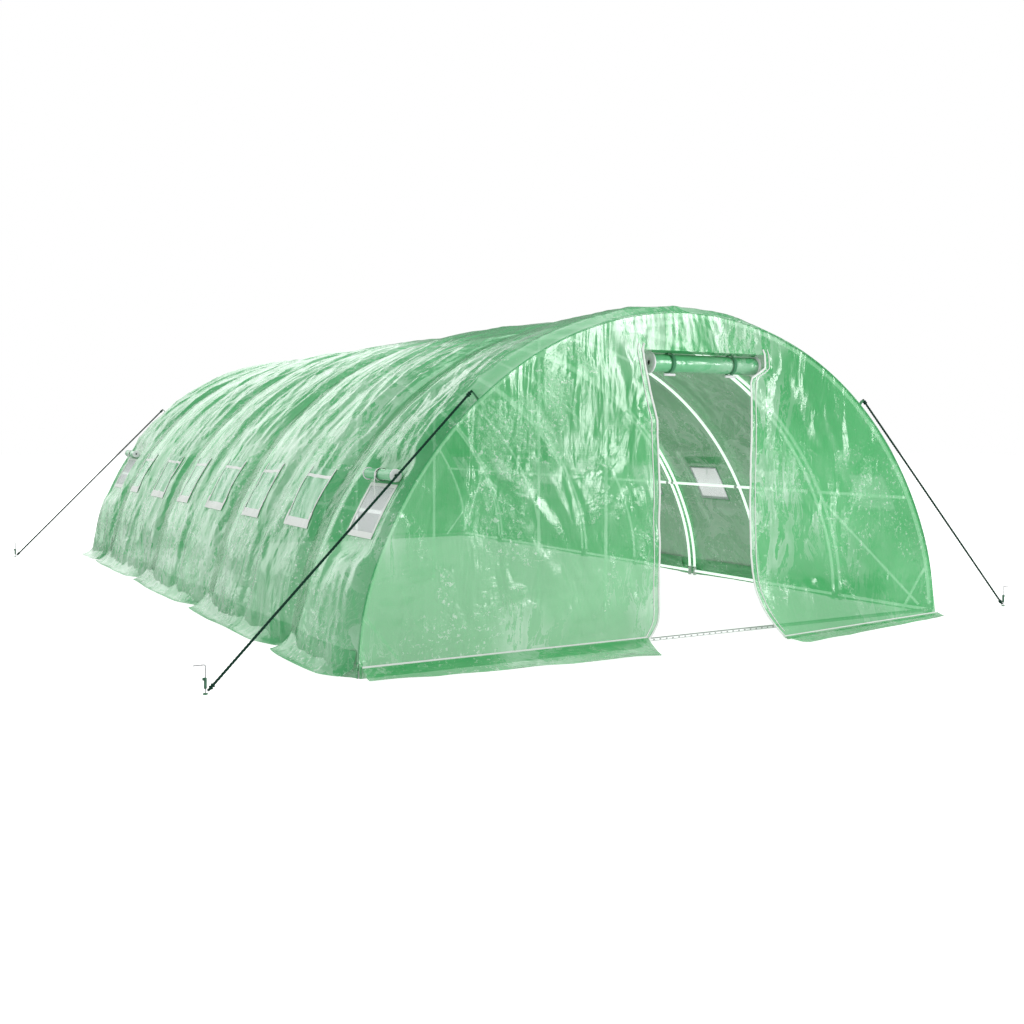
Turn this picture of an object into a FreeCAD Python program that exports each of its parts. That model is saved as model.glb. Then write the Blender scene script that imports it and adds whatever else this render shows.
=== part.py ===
import FreeCAD, Part
import math
import os

# Walk-in tunnel greenhouse: a frame of bent steel tube under a woven film cover.
# Millimetres, +Z up. X is across the tunnel and Y along it, with the open door at -Y.
# The origin is on the ground at the centre of the footprint.

os.makedirs("parts", exist_ok=True)
doc = FreeCAD.newDocument("tunnel_greenhouse")

# ---------------------------------------------------------------- driving dimensions
DIMENSIONS = [
    # arch and bays
    ("tunnel_length", 8000),
    ("bay_count", 8),
    ("half_span", 2500),
    ("arch_rise", 2262),
    ("leg_angle", 20),
    ("rail_height", 44),
    ("twin_offset", 40),
    # frame tube
    ("tube_diameter", 25),
    ("tube_wall", 1),
    ("brace_diameter", 19),
    ("roof_tubes", 5),
    ("purlin_level", 933),
    ("purlin_gap", 4),
    ("clamp_clearance", 0.3),
    ("clamp_wall", 2.7),
    ("clamp_length", 38),
    ("foot_clearance", 1),
    ("foot_wall", 3),
    ("foot_height", 90),
    ("bolt_flats", 10),
    ("bolt_head", 4),
    ("post_gap", 0.5),
    ("leg_brace_rise", 330),
    ("leg_brace_reach", 300),
    ("side_brace_inset", 55),
    ("side_brace_setback", 60),
    ("side_brace_foot", 85),
    ("side_brace_clearance", 80),
    ("side_brace_drop", 2),
    # cover
    ("film_thickness", 2),
    ("cover_gap", 5),
    ("roof_strips", 8),
    ("window_sill_level", 780),
    ("window_head_level", 1120),
    ("window_width", 380),
    ("first_window", 380),
    ("net_thickness", 1),
    ("film_clearance", 0.5),
    # skirts
    ("skirt_width", 130),
    ("skirt_notch", 25),
    ("skirt_slant", 60),
    ("skirt_near_depth", 150),
    ("skirt_tip_depth", 330),
    # doors
    ("door_left", -310),
    ("door_right", 550),
    ("door_head", 2050),
    ("door_roll_diameter", 140),
    ("door_core_diameter", 44),
    ("door_roll_level", 1970),
    ("door_roll_inset", 70),
    ("door_roll_shift", 70),
    ("door_roll_overlap", 51),
    ("door_strap_left", -310),
    ("door_strap_right", 250),
    ("door_overlap", 25),
    ("door_film_gap", 3),
    ("door_film_foot", 20),
    ("door_bar_gap", 2),
    ("door_bar_level", 40),
    ("door_bar_proud", 5),
    ("bar_diameter", 20),
    ("strap_width", 25),
    ("strap_thickness", 3),
    ("ring_width", 5),
    ("ring_proud", 3),
    # windows
    ("window_roll_diameter", 80),
    ("window_core_diameter", 24),
    ("window_roll_gap", 14),
    ("window_overlap", 20),
    ("window_bar_diameter", 14),
    ("flap_gap", 3),
    ("flap_below_sill", 0.4),
    ("flap_above_head", 0.6),
    # guy ropes and pegs
    ("rope_diameter", 18),
    ("rope_tab_angle", 48.8),
    ("rope_tab_reach", 60),
    ("rope_tab_width", 30),
    ("rope_start", 77),
    ("rope_ring_gap", 3),
    ("peg_distance", 3430),
    ("peg_ring_level", 8),
    ("peg_diameter", 7),
    ("peg_length", 175),
    ("peg_bend", 10),
    ("peg_hook", 70),
    ("peg_tip", 22),
    ("ring_radius", 12),
    ("ring_thickness", 7),
]

sheet = doc.addObject("Spreadsheet::Sheet", "Sizes")
for row, (alias, value) in enumerate(DIMENSIONS, start=1):
    sheet.set(f"A{row}", alias)
    sheet.set(f"B{row}", str(value))
    sheet.setAlias(f"B{row}", alias)
doc.recompute()


def size(alias):
    """A driving dimension, read back from the sheet."""
    return float(sheet.get(alias))


# ---------------------------------------------------------------- derived sizes
# The arch is two leg arcs and one roof arc, tangent to each other, to the uprights and at the top:
#   half_span = leg_radius (1 - cos a) + roof_radius cos a
#   arch_rise = leg_radius sin a + roof_radius (1 - sin a)
leg_cos = math.cos(math.radians(size("leg_angle")))
leg_sin = math.sin(math.radians(size("leg_angle")))
determinant = (1 - leg_cos) * (1 - leg_sin) - leg_cos * leg_sin
leg_radius = (size("half_span") * (1 - leg_sin) - size("arch_rise") * leg_cos) / determinant
roof_radius = (size("arch_rise") * (1 - leg_cos) - size("half_span") * leg_sin) / determinant
leg_centre_x = size("half_span") - leg_radius
roof_centre_z = size("rail_height") + size("arch_rise") - roof_radius

tube_radius = size("tube_diameter") / 2
brace_radius = size("brace_diameter") / 2
half_length = size("tunnel_length") / 2
bay = size("tunnel_length") / size("bay_count")
bays = int(size("bay_count"))
cover_inner = tube_radius + size("cover_gap")
cover_outer = cover_inner + size("film_thickness")
end_inner = half_length + cover_inner
end_outer = half_length + cover_outer
purlin_inset = size("tube_diameter") + size("purlin_gap")
clamp_inner = tube_radius + size("clamp_clearance")
clamp_outer = clamp_inner + size("clamp_wall")
foot_inner = tube_radius + size("foot_clearance")
foot_outer = foot_inner + size("foot_wall")


def roof_angle(level):
    """The angle on the roof arc, in degrees from +X, of a level above the base rails."""
    return math.degrees(math.asin((level + size("rail_height") - roof_centre_z) / roof_radius))


def roof_point(angle, offset=0, y=0):
    """The point offset outward from the roof arc at an angle in degrees."""
    turn = math.radians(angle)
    reach = roof_radius + offset
    return FreeCAD.Vector(reach * math.cos(turn), y, roof_centre_z + reach * math.sin(turn))


def outline_height(x, offset=0):
    """The height above the ground of the roof arc at x."""
    return roof_centre_z + math.sqrt((roof_radius + offset) ** 2 - x * x)


sill_angle = roof_angle(size("window_sill_level"))
head_angle = roof_angle(size("window_head_level"))
purlin_angle = roof_angle(size("purlin_level"))
roof_tube_sweep = (180 - 2 * size("leg_angle")) / size("roof_tubes")
roof_strip_sweep = (180 - 2 * head_angle) / size("roof_strips")
window_pitch = (size("tunnel_length") - 2 * size("first_window")) / (bays - 1)

ALONG_X = FreeCAD.Vector(1, 0, 0)
ALONG_Y = FreeCAD.Vector(0, 1, 0)
ALONG_Z = FreeCAD.Vector(0, 0, 1)
UPRIGHT = FreeCAD.Rotation(ALONG_X, 90)

nodes = []


# ---------------------------------------------------------------- makers
def bind(item, **expressions):
    """Bind an object's sizes to the sheet; a name in the expression is an alias of the sheet."""
    for name, expression in expressions.items():
        item.setExpression(name, expression)
    return item


def node(label, items):
    """One sub-part: a group of closed solids, with the label that names its file."""
    group = doc.addObject("Part::Compound", "Node_" + label)
    group.Links = items
    group.Label = label
    nodes.append(group)
    return group


def hollow(name, outer, inner):
    cut = doc.addObject("Part::Cut", name)
    cut.Base = outer
    cut.Tool = inner
    return cut


def turned_to(direction):
    return FreeCAD.Rotation(ALONG_Z, direction)


def rod(name, diameter, start, end):
    """A solid round bar from start to end."""
    bar = doc.addObject("Part::Cylinder", name)
    bind(bar, Radius=f"({diameter}) / 2")
    bar.Height = (end - start).Length
    bar.Placement = FreeCAD.Placement(start, turned_to(end - start))
    return bar


TUBE_BORE = "Sizes.tube_diameter - 2 * Sizes.tube_wall"


def tube(name, start, end, diameter="Sizes.tube_diameter", bore=TUBE_BORE):
    """A straight round tube from start to end."""
    return hollow(name, rod(name + "_outer", diameter, start, end), rod(name + "_bore", bore, start, end))


def arc_tube(name, radius, centre, start_angle, sweep):
    """A bent frame tube about an axis along Y, from start_angle over sweep degrees."""
    tori = []
    minor_radii = {"outer": "Sizes.tube_diameter / 2", "bore": "Sizes.tube_diameter / 2 - Sizes.tube_wall"}
    for part, minor in minor_radii.items():
        torus = doc.addObject("Part::Torus", f"{name}_{part}")
        torus.Radius1 = radius
        bind(torus, Radius2=minor)
        torus.Angle3 = sweep
        torus.Placement = FreeCAD.Placement(centre, UPRIGHT * FreeCAD.Rotation(ALONG_Z, start_angle))
        tori.append(torus)
    return hollow(name, tori[0], tori[1])


def film_strip(name, arc, stretch, y_range, offset, thickness="Sizes.film_thickness"):
    """A curved strip of film, offset outward from an arc (radius, centre) about an axis along Y.

    stretch is its start angle and its sweep in degrees, and y_range its two ends along Y.
    """
    radius, centre = arc
    start_angle, sweep = stretch
    y_start, y_end = y_range
    base = FreeCAD.Vector(centre.x, y_end, centre.z)
    inner = doc.addObject("Part::Cylinder", name + "_inner")
    inner.Radius = radius + offset
    outer = doc.addObject("Part::Cylinder", name + "_outer")
    bind(outer, Radius=f"{inner.Name}.Radius + {thickness} * 1 mm")
    outer.Angle = sweep
    for part in (inner, outer):
        part.Height = y_end - y_start
        part.Placement = FreeCAD.Placement(base, UPRIGHT * FreeCAD.Rotation(ALONG_Z, start_angle))
    return hollow(name, outer, inner)


def origin_plane(body, role):
    return next(feature for feature in body.Origin.OriginFeatures if feature.Role == role)


def padded_outline(name, role, edges, thickness, placement):
    """A body padded from a closed outline drawn on one of its origin planes."""
    body = doc.addObject("PartDesign::Body", name)
    sketch = body.newObject("Sketcher::SketchObject", name + "_outline")
    sketch.AttachmentSupport = [(origin_plane(body, role), "")]
    sketch.MapMode = "FlatFace"
    sketch.addGeometry(edges, False)
    pad = body.newObject("PartDesign::Pad", name + "_pad")
    pad.Profile = sketch
    bind(pad, Length=thickness)
    body.Tip = pad
    body.Placement = placement
    return body


def polygon(points):
    """The straight edges of a closed outline through points, in the sketch's plane."""
    corners = [FreeCAD.Vector(x, y, 0) for x, y in points]
    return [Part.LineSegment(a, b) for a, b in zip(corners, corners[1:] + corners[:1])]


def box(name, corner, length, width, height, rotation=FreeCAD.Rotation()):
    block = doc.addObject("Part::Box", name)
    bind(block, Length=length, Width=width, Height=height)
    block.Placement = FreeCAD.Placement(corner, rotation)
    return block


def bolt_head(name, seat, direction):
    """A hexagonal bolt head standing on seat."""
    head = doc.addObject("Part::Prism", name)
    head.Polygon = 6
    bind(head, Circumradius="Sizes.bolt_flats / 1.732", Height="Sizes.bolt_head")
    head.Placement = FreeCAD.Placement(seat, turned_to(direction))
    return head


def fused(name, items):
    whole = doc.addObject("Part::MultiFuse", name)
    whole.Shapes = items
    return whole


# ---------------------------------------------------------------- hoops
SIDES = (("left", -1), ("right", 1))
ENDS = (("front", -1), ("rear", 1))
roof_centre = FreeCAD.Vector(0, 0, roof_centre_z)


def bay_y(index):
    return index * bay - half_length


def hoop_lines(index):
    """The places along the tunnel of the tubes of one hoop: each odd hoop, at a module joint, is a twin."""
    if index % 2:
        return (bay_y(index) - size("twin_offset"), bay_y(index) + size("twin_offset"))
    return (bay_y(index),)


def hoop_tubes(name, y):
    """One hoop: two upright ends, two bent legs and the roof tubes, end to end."""
    shift = FreeCAD.Vector(0, y, 0)
    pieces = []
    for side, sign in SIDES:
        foot = FreeCAD.Vector(sign * size("half_span"), y, size("film_thickness"))
        top = FreeCAD.Vector(foot.x, y, size("rail_height"))
        pieces.append(tube(f"{name}_{side}_end", foot, top))
        centre = FreeCAD.Vector(sign * leg_centre_x, y, size("rail_height"))
        start = 0 if sign > 0 else 180 - size("leg_angle")
        pieces.append(arc_tube(f"{name}_{side}_leg", leg_radius, centre, start, size("leg_angle")))
    for piece in range(int(size("roof_tubes"))):
        start = size("leg_angle") + piece * roof_tube_sweep
        label = f"{name}_roof_{piece + 1}"
        pieces.append(arc_tube(label, roof_radius, roof_centre + shift, start, roof_tube_sweep))
    return pieces


for index in range(bays + 1):
    pieces = []
    for line, y in enumerate(hoop_lines(index), start=1):
        pieces += hoop_tubes(f"Hoop_{index}_{line}", y)
    node({0: "hoop_front", bays: "hoop_rear"}.get(index, f"hoop_{index}"), pieces)

# ---------------------------------------------------------------- base rails and feet
rail_end = foot_outer + 1
for side, sign in SIDES:
    rails = []
    for index in range(bays):
        start_y = hoop_lines(index)[-1] + rail_end
        start = FreeCAD.Vector(sign * size("half_span"), start_y, size("rail_height"))
        end = FreeCAD.Vector(start.x, hoop_lines(index + 1)[0] - rail_end, start.z)
        rails.append(tube(f"Rail_{side}_{index}", start, end))
    node(f"base_rail_{side}", rails)
for name, sign in ENDS:
    start = FreeCAD.Vector(-size("half_span") + rail_end, sign * half_length, size("rail_height"))
    end = FreeCAD.Vector(-start.x, start.y, start.z)
    node(f"base_rail_{name}", [tube(f"Rail_{name}", start, end)])

FOOT_BORE = "2 * (Sizes.tube_diameter / 2 + Sizes.foot_clearance)"
FOOT_OUTER = "2 * (Sizes.tube_diameter / 2 + Sizes.foot_clearance + Sizes.foot_wall)"
feet = []
foot_bolts = []
for index in range(bays + 1):
    for line, y in enumerate(hoop_lines(index), start=1):
        for side, sign in SIDES:
            name = f"Foot_{index}_{line}_{side}"
            ground = FreeCAD.Vector(sign * size("half_span"), y, 0)
            floor = ground + ALONG_Z * size("film_thickness")
            top = ground + ALONG_Z * size("foot_height")
            socket = rod(name + "_socket", FOOT_OUTER, ground, top)
            bore = rod(name + "_bore", FOOT_BORE, floor, top)
            feet.append(hollow(name, socket, bore))
            seat = ground + FreeCAD.Vector(-sign * foot_outer, 0, size("foot_height") - size("bolt_flats"))
            foot_bolts.append(bolt_head(name + "_bolt", seat, ALONG_X * -sign))
node("feet", feet)
node("foot_bolts", foot_bolts)

# ---------------------------------------------------------------- purlins, clamps and posts
CLAMP_BORE = "2 * (Sizes.tube_diameter / 2 + Sizes.clamp_clearance)"
CLAMP_OUTER = "2 * (Sizes.tube_diameter / 2 + Sizes.clamp_clearance + Sizes.clamp_wall)"
clamps = []
clamp_bolts = []
for name, angle in (("left", 180 - purlin_angle), ("right", purlin_angle), ("ridge", 90)):
    start = roof_point(angle, -purlin_inset, -half_length + tube_radius)
    end = roof_point(angle, -purlin_inset, half_length - tube_radius)
    node({"ridge": "ridge_purlin"}.get(name, f"purlin_{name}"), [tube(f"Purlin_{name}", start, end)])
    inward = roof_point(angle, 0) - roof_point(angle, 1)
    for index in range(1, bays):
        for line, y in enumerate(hoop_lines(index), start=1):
            label = f"Clamp_{name}_{index}_{line}"
            half = size("clamp_length") / 2
            start = roof_point(angle, -purlin_inset, y - half)
            end = roof_point(angle, -purlin_inset, y + half)
            clamps.append(tube(label, start, end, CLAMP_OUTER, CLAMP_BORE))
            if name != "ridge":
                seat = roof_point(angle, -purlin_inset - clamp_outer, y)
                clamp_bolts.append(bolt_head(label + "_bolt", seat, inward))
node("purlin_clamps", clamps)
node("clamp_bolts", clamp_bolts)

POST_HOOPS = (1, 2, 4, 6, 7)
post_top = roof_centre_z + roof_radius - purlin_inset - clamp_outer - size("post_gap")
posts = []
for index in POST_HOOPS:
    foot = FreeCAD.Vector(0, bay_y(index), 0)
    posts.append(tube(f"Post_{index}", foot, FreeCAD.Vector(0, foot.y, post_top)))
node("centre_posts", posts)

# ---------------------------------------------------------------- braces
BRACE = "Sizes.brace_diameter"
BRACE_BORE = "Sizes.brace_diameter - 2 * Sizes.tube_wall"
BRACE_GAP = 2
end_braces = []
side_braces = []
for end_name, end_sign in ENDS:
    for side, sign in SIDES:
        y = end_sign * (half_length - tube_radius - brace_radius - BRACE_GAP)
        rise = size("leg_brace_rise")
        leg_x = leg_centre_x + math.sqrt(leg_radius**2 - rise**2)
        on_leg = FreeCAD.Vector(sign * leg_x, y, size("rail_height") + rise)
        rail_x = sign * (size("half_span") - size("leg_brace_reach"))
        on_rail = FreeCAD.Vector(rail_x, y, size("rail_height"))
        end_braces.append(tube(f"End_brace_{end_name}_{side}", on_rail, on_leg, BRACE, BRACE_BORE))
        low = FreeCAD.Vector(
            sign * (size("half_span") - size("side_brace_inset")),
            end_sign * (half_length - size("side_brace_setback")),
            size("side_brace_foot"),
        )
        high_y = end_sign * (half_length - bay + size("side_brace_clearance"))
        high_angle = purlin_angle - size("side_brace_drop")
        high = roof_point(high_angle, -purlin_inset - size("purlin_gap"), high_y)
        high.x *= sign
        side_braces.append(tube(f"Side_brace_{end_name}_{side}", low, high, BRACE, BRACE_BORE))
node("end_braces", end_braces)
node("side_braces", side_braces)

# ---------------------------------------------------------------- tunnel cover
window_lines = [size("first_window") + window_pitch * index - half_length for index in range(bays)]


def side_start(sign, start, end):
    """The start angle, turning from +X, of a stretch of the arc on one side."""
    return start if sign > 0 else 180 - end


roof_arc = (roof_radius, roof_centre)
whole_length = (-end_inner, end_inner)
roof = []
for strip in range(int(size("roof_strips"))):
    stretch = (head_angle + strip * roof_strip_sweep, roof_strip_sweep)
    roof.append(film_strip(f"Roof_{strip}", roof_arc, stretch, whole_length, cover_inner))
node("cover_roof", roof)

HEM_LENGTH = "Sizes.tunnel_length + Sizes.tube_diameter + 2 * Sizes.cover_gap"
net_offset = cover_inner + size("film_clearance")
nets = []
for side, sign in SIDES:
    corner = FreeCAD.Vector(sign * (size("half_span") + cover_inner), -end_inner, 0)
    if sign < 0:
        corner.x -= size("film_thickness")
    film = [box(f"Cover_hem_{side}", corner, "Sizes.film_thickness", HEM_LENGTH, "Sizes.rail_height")]
    leg_arc = (leg_radius, FreeCAD.Vector(sign * leg_centre_x, 0, size("rail_height")))
    stretch = (side_start(sign, 0, size("leg_angle")), size("leg_angle"))
    film.append(film_strip(f"Cover_leg_{side}", leg_arc, stretch, whole_length, cover_inner))
    stretch = (side_start(sign, size("leg_angle"), sill_angle), sill_angle - size("leg_angle"))
    film.append(film_strip(f"Cover_sill_{side}", roof_arc, stretch, whole_length, cover_inner))
    stretch = (side_start(sign, sill_angle, head_angle), head_angle - sill_angle)
    edge = -end_inner
    for index, y in enumerate(window_lines):
        near = y - size("window_width") / 2
        film.append(film_strip(f"Cover_{side}_{index}", roof_arc, stretch, (edge, near), cover_inner))
        edge = y + size("window_width") / 2
        label = f"Net_{side}_{index}"
        nets.append(film_strip(label, roof_arc, stretch, (near, edge), net_offset, "Sizes.net_thickness"))
    film.append(film_strip(f"Cover_{side}_{bays}", roof_arc, stretch, (edge, end_inner), cover_inner))
    node(f"cover_{side}", film)
node("window_nets", nets)


# ---------------------------------------------------------------- end walls
def arc_edge(centre, radius, start, end):
    circle = Part.Circle(centre, ALONG_Z, radius)
    return Part.ArcOfCircle(circle, math.radians(start), math.radians(end))


def wall_side(sign, door_edge):
    """The outline of the end wall beside the doorway, from the door's edge to the arch."""
    leg_centre = FreeCAD.Vector(sign * leg_centre_x, size("rail_height"), 0)
    centre = FreeCAD.Vector(0, roof_centre_z, 0)
    roof_outer = roof_radius + cover_outer
    foot_x = sign * (size("half_span") + cover_outer)
    top = math.degrees(math.acos(door_edge / roof_outer))
    leg = size("leg_angle")
    door_top = outline_height(door_edge, cover_outer)
    corners = [(foot_x, size("rail_height")), (foot_x, 0), (door_edge, 0), (door_edge, door_top)]
    points = [FreeCAD.Vector(x, z, 0) for x, z in corners]
    edges = [Part.LineSegment(a, b) for a, b in zip(points, points[1:])]
    if sign > 0:
        edges.append(arc_edge(centre, roof_outer, leg, top))
        edges.append(arc_edge(leg_centre, leg_radius + cover_outer, 0, leg))
    else:
        edges.append(arc_edge(centre, roof_outer, top, 180 - leg))
        edges.append(arc_edge(leg_centre, leg_radius + cover_outer, 180 - leg, 180))
    return edges


def wall_header():
    """The outline of the end wall above the doorway."""
    left, right, head = size("door_left"), size("door_right"), size("door_head")
    roof_outer = roof_radius + cover_outer
    high_left = outline_height(left, cover_outer)
    high_right = outline_height(right, cover_outer)
    corners = [(left, high_left), (left, head), (right, head), (right, high_right)]
    points = [FreeCAD.Vector(x, z, 0) for x, z in corners]
    edges = [Part.LineSegment(a, b) for a, b in zip(points, points[1:])]
    start = math.degrees(math.acos(right / roof_outer))
    end = math.degrees(math.acos(left / roof_outer))
    edges.append(arc_edge(FreeCAD.Vector(0, roof_centre_z, 0), roof_outer, start, end))
    return edges


HALF_TURN = FreeCAD.Rotation(ALONG_Z, 180)
end_places = {
    "front": FreeCAD.Placement(FreeCAD.Vector(0, -end_inner, 0), FreeCAD.Rotation()),
    "rear": FreeCAD.Placement(FreeCAD.Vector(0, end_inner, 0), HALF_TURN),
}
wall_outlines = {
    "left": wall_side(-1, size("door_left")),
    "right": wall_side(1, size("door_right")),
    "header": wall_header(),
}
for name, place in end_places.items():
    panels = []
    for part, edges in wall_outlines.items():
        label = f"Wall_{name}_{part}"
        panels.append(padded_outline(label, "XZ_Plane", edges, "Sizes.film_thickness", place))
    node(f"{name}_wall", panels)

# ---------------------------------------------------------------- skirts laid on the ground
wall_x = size("half_span") + cover_outer
near_depth, tip_depth = size("skirt_near_depth"), size("skirt_tip_depth")
LOBE_ENDS = (0, 1100, 3200, 5300, 7200, 8000)
flaps = []
for side, sign in SIDES:
    inner = sign * (wall_x + size("film_clearance"))
    outer = sign * (wall_x + size("skirt_width"))
    for index, (start, end) in enumerate(zip(LOBE_ENDS, LOBE_ENDS[1:])):
        y0 = start - half_length + size("skirt_notch")
        y1 = end - half_length - size("skirt_notch")
        slant_end = y1 + size("skirt_notch")
        points = [(inner, y0), (outer, y0 + size("skirt_slant")), (outer, slant_end), (inner, y1)]
        place = FreeCAD.Placement()
        label = f"Skirt_{side}_{index}"
        flaps.append(padded_outline(label, "XY_Plane", polygon(points), "Sizes.film_thickness", place))
# Each end flap: (X from an edge of the doorway or of the wall, depth outside the wall).
end_flaps = {
    "door_left": [
        (-wall_x, 0),
        (-wall_x + 30, near_depth),
        (size("door_left") - 160, tip_depth),
        (size("door_left") - 60, 0),
    ],
    "door_right": [
        (size("door_right") + 130, 0),
        (size("door_right") + 110, tip_depth),
        (wall_x + 120, near_depth - 50),
        (wall_x, 0),
    ],
}
for name, place in end_places.items():
    for part, corners in end_flaps.items():
        wall_face = size("film_thickness") + size("film_clearance")
        points = [(x, -wall_face - depth) for x, depth in corners]
        label = f"Skirt_{name}_{part}"
        flaps.append(padded_outline(label, "XY_Plane", polygon(points), "Sizes.film_thickness", place))
node("ground_skirts", flaps)


# ---------------------------------------------------------------- rolled film
def roll(name, centre, axis, length, diameter, core, straps):
    """A roll of film on a hollow core, with a bound ring at each end and straps about it."""
    half = length / 2
    body = tube(name, centre - axis * half, centre + axis * half, diameter, core)
    pieces = [body]
    collar = f"{diameter} + 2 * Sizes.ring_proud"
    for end, sign in (("low", -1), ("high", 1)):
        near = centre + axis * (sign * half)
        far = near + axis * (sign * size("ring_width"))
        pieces.append(tube(f"{name}_ring_{end}", near, far, collar, core))
    band = f"{diameter} + 2 * Sizes.strap_thickness"
    for index, place in enumerate(straps):
        near = centre + axis * (place - size("strap_width") / 2)
        far = near + axis * size("strap_width")
        pieces.append(tube(f"{name}_strap_{index}", near, far, band, diameter))
    return pieces


# ---------------------------------------------------------------- doors
door_width = size("door_right") - size("door_left")
door_middle = (size("door_left") + size("door_right")) / 2
roll_centre = FreeCAD.Vector(
    door_middle + size("door_roll_shift"),
    -half_length + size("door_roll_inset"),
    size("door_roll_level"),
)
roll_length = door_width + 2 * size("door_roll_overlap")
roll_straps = (size("door_strap_left"), size("door_strap_right"))
node(
    "front_door_roll",
    roll(
        "Door_roll", roll_centre, ALONG_X, roll_length,
        "Sizes.door_roll_diameter", "Sizes.door_core_diameter", roll_straps,
    ),
)

FLAP_WIDTH = "Sizes.door_right - Sizes.door_left + 2 * Sizes.door_overlap"
film_corner = FreeCAD.Vector(
    -size("door_right") - size("door_overlap"),
    end_outer + size("door_film_gap"),
    size("door_film_foot"),
)
FLAP_HEIGHT = "Sizes.door_head + Sizes.door_film_foot"
node("rear_door_film", [box("Door_film", film_corner, FLAP_WIDTH, "Sizes.film_thickness", FLAP_HEIGHT)])
bar_y = film_corner.y + size("film_thickness") + size("bar_diameter") / 2 + size("door_bar_gap")
bar_start = FreeCAD.Vector(film_corner.x - size("door_bar_proud"), bar_y, size("door_bar_level"))
bar_length = door_width + 2 * size("door_overlap") + 2 * size("door_bar_proud")
node("rear_door_bar", [rod("Door_bar", "Sizes.bar_diameter", bar_start, bar_start + ALONG_X * bar_length)])

# ---------------------------------------------------------------- windows
# On the left side the first and last flaps are rolled up and the others hang closed.
# On the right side all are rolled up.
window_length = size("window_width") + 2 * size("window_overlap")
flap_start = sill_angle - size("flap_below_sill")
flap_end = head_angle + size("flap_above_head")
roll_offset = cover_outer + size("window_roll_gap") + size("window_roll_diameter") / 2
bar_offset = cover_outer + size("window_roll_gap") + size("window_bar_diameter") / 2
closed_flaps = []
for side, sign in SIDES:
    for index, y in enumerate(window_lines):
        label = f"{side}_{index + 1}"
        if sign > 0 or index in (0, bays - 1):
            centre = roof_point(head_angle, roll_offset, y)
            centre.x *= sign
            pieces = roll(
                f"Window_roll_{label}", centre, ALONG_Y, window_length,
                "Sizes.window_roll_diameter", "Sizes.window_core_diameter", (0,),
            )
            node(f"window_roll_{label}", pieces)
            continue
        centre = roof_point(flap_start, bar_offset, y)
        centre.x *= sign
        half = ALONG_Y * (window_length / 2)
        bar = rod(f"Window_bar_{label}", "Sizes.window_bar_diameter", centre - half, centre + half)
        node(f"window_bar_{label}", [bar])
        stretch = (side_start(sign, flap_start, flap_end), flap_end - flap_start)
        y_range = (y - window_length / 2, y + window_length / 2)
        flap_offset = cover_outer + size("flap_gap")
        closed_flaps.append(film_strip(f"Flap_{label}", roof_arc, stretch, y_range, flap_offset))
node("window_films", closed_flaps)

# ---------------------------------------------------------------- guy ropes, tabs, rings and pegs
fittings = []
for end_name, end_sign in ENDS:
    for side, sign in SIDES:
        name = f"{end_name}_{side}"
        y = end_sign * half_length
        angle = size("rope_tab_angle")
        tab_foot = cover_outer + size("film_clearance")
        inner = roof_point(angle, tab_foot, y)
        outer = roof_point(angle, tab_foot + size("rope_tab_reach"), y)
        ring_centre = FreeCAD.Vector(sign * size("peg_distance"), y, size("peg_ring_level"))
        for point in (inner, outer):
            point.x *= sign
        outward = outer - inner
        turn = turned_to(outward)
        tab_half = FreeCAD.Vector(size("strap_thickness") / 2, size("rope_tab_width") / 2, 0)
        corner = inner - turn.multVec(tab_half)
        tab_size = ("Sizes.strap_thickness", "Sizes.rope_tab_width", "Sizes.rope_tab_reach")
        fittings.append(box(f"Tab_{name}", corner, *tab_size, turn))
        ring = doc.addObject("Part::Torus", f"Ring_{name}")
        bind(ring, Radius1="Sizes.ring_radius", Radius2="Sizes.ring_thickness / 2")
        ring.Placement = FreeCAD.Placement(ring_centre, FreeCAD.Rotation())
        fittings.append(ring)

        rope_start = roof_point(angle, size("rope_start") + size("rope_diameter"), y)
        rope_start.x *= sign
        toward = (ring_centre - rope_start).normalize()
        ring_reach = size("ring_radius") + size("ring_thickness") + size("rope_ring_gap")
        rope_end = ring_centre - toward * ring_reach
        node(f"rope_{name}", [rod(f"Rope_{name}", "Sizes.rope_diameter", rope_start, rope_end)])

        # The peg stands on its tip, with its hook turned away from the tunnel.
        peg_foot = FreeCAD.Vector(sign * size("peg_distance"), y, 0)
        tip = doc.addObject("Part::Cone", f"Peg_tip_{name}")
        bind(tip, Radius1="Sizes.peg_diameter / 8", Radius2="Sizes.peg_diameter / 2")
        bind(tip, Height="Sizes.peg_tip")
        tip.Placement.Base = peg_foot
        shank_top = peg_foot + ALONG_Z * (size("peg_length") - size("peg_bend") - size("peg_diameter") / 2)
        shank_foot = peg_foot + ALONG_Z * size("peg_tip")
        shank = rod(f"Peg_shank_{name}", "Sizes.peg_diameter", shank_foot, shank_top)
        bend = doc.addObject("Part::Torus", f"Peg_bend_{name}")
        bind(bend, Radius1="Sizes.peg_bend", Radius2="Sizes.peg_diameter / 2")
        bend.Angle3 = 90
        bend_centre = shank_top + ALONG_X * (sign * size("peg_bend"))
        quarter = FreeCAD.Rotation(ALONG_Z, 90 if sign > 0 else 0)
        bend.Placement = FreeCAD.Placement(bend_centre, UPRIGHT * quarter)
        hook_start = bend_centre + ALONG_Z * size("peg_bend")
        hook_end = hook_start + ALONG_X * (sign * (size("peg_hook") - size("peg_bend")))
        hook = rod(f"Peg_hook_{name}", "Sizes.peg_diameter", hook_start, hook_end)
        node(f"peg_{name}", [fused(f"Peg_{name}", [tip, shank, bend, hook])])
node("rope_fittings", fittings)

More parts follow.
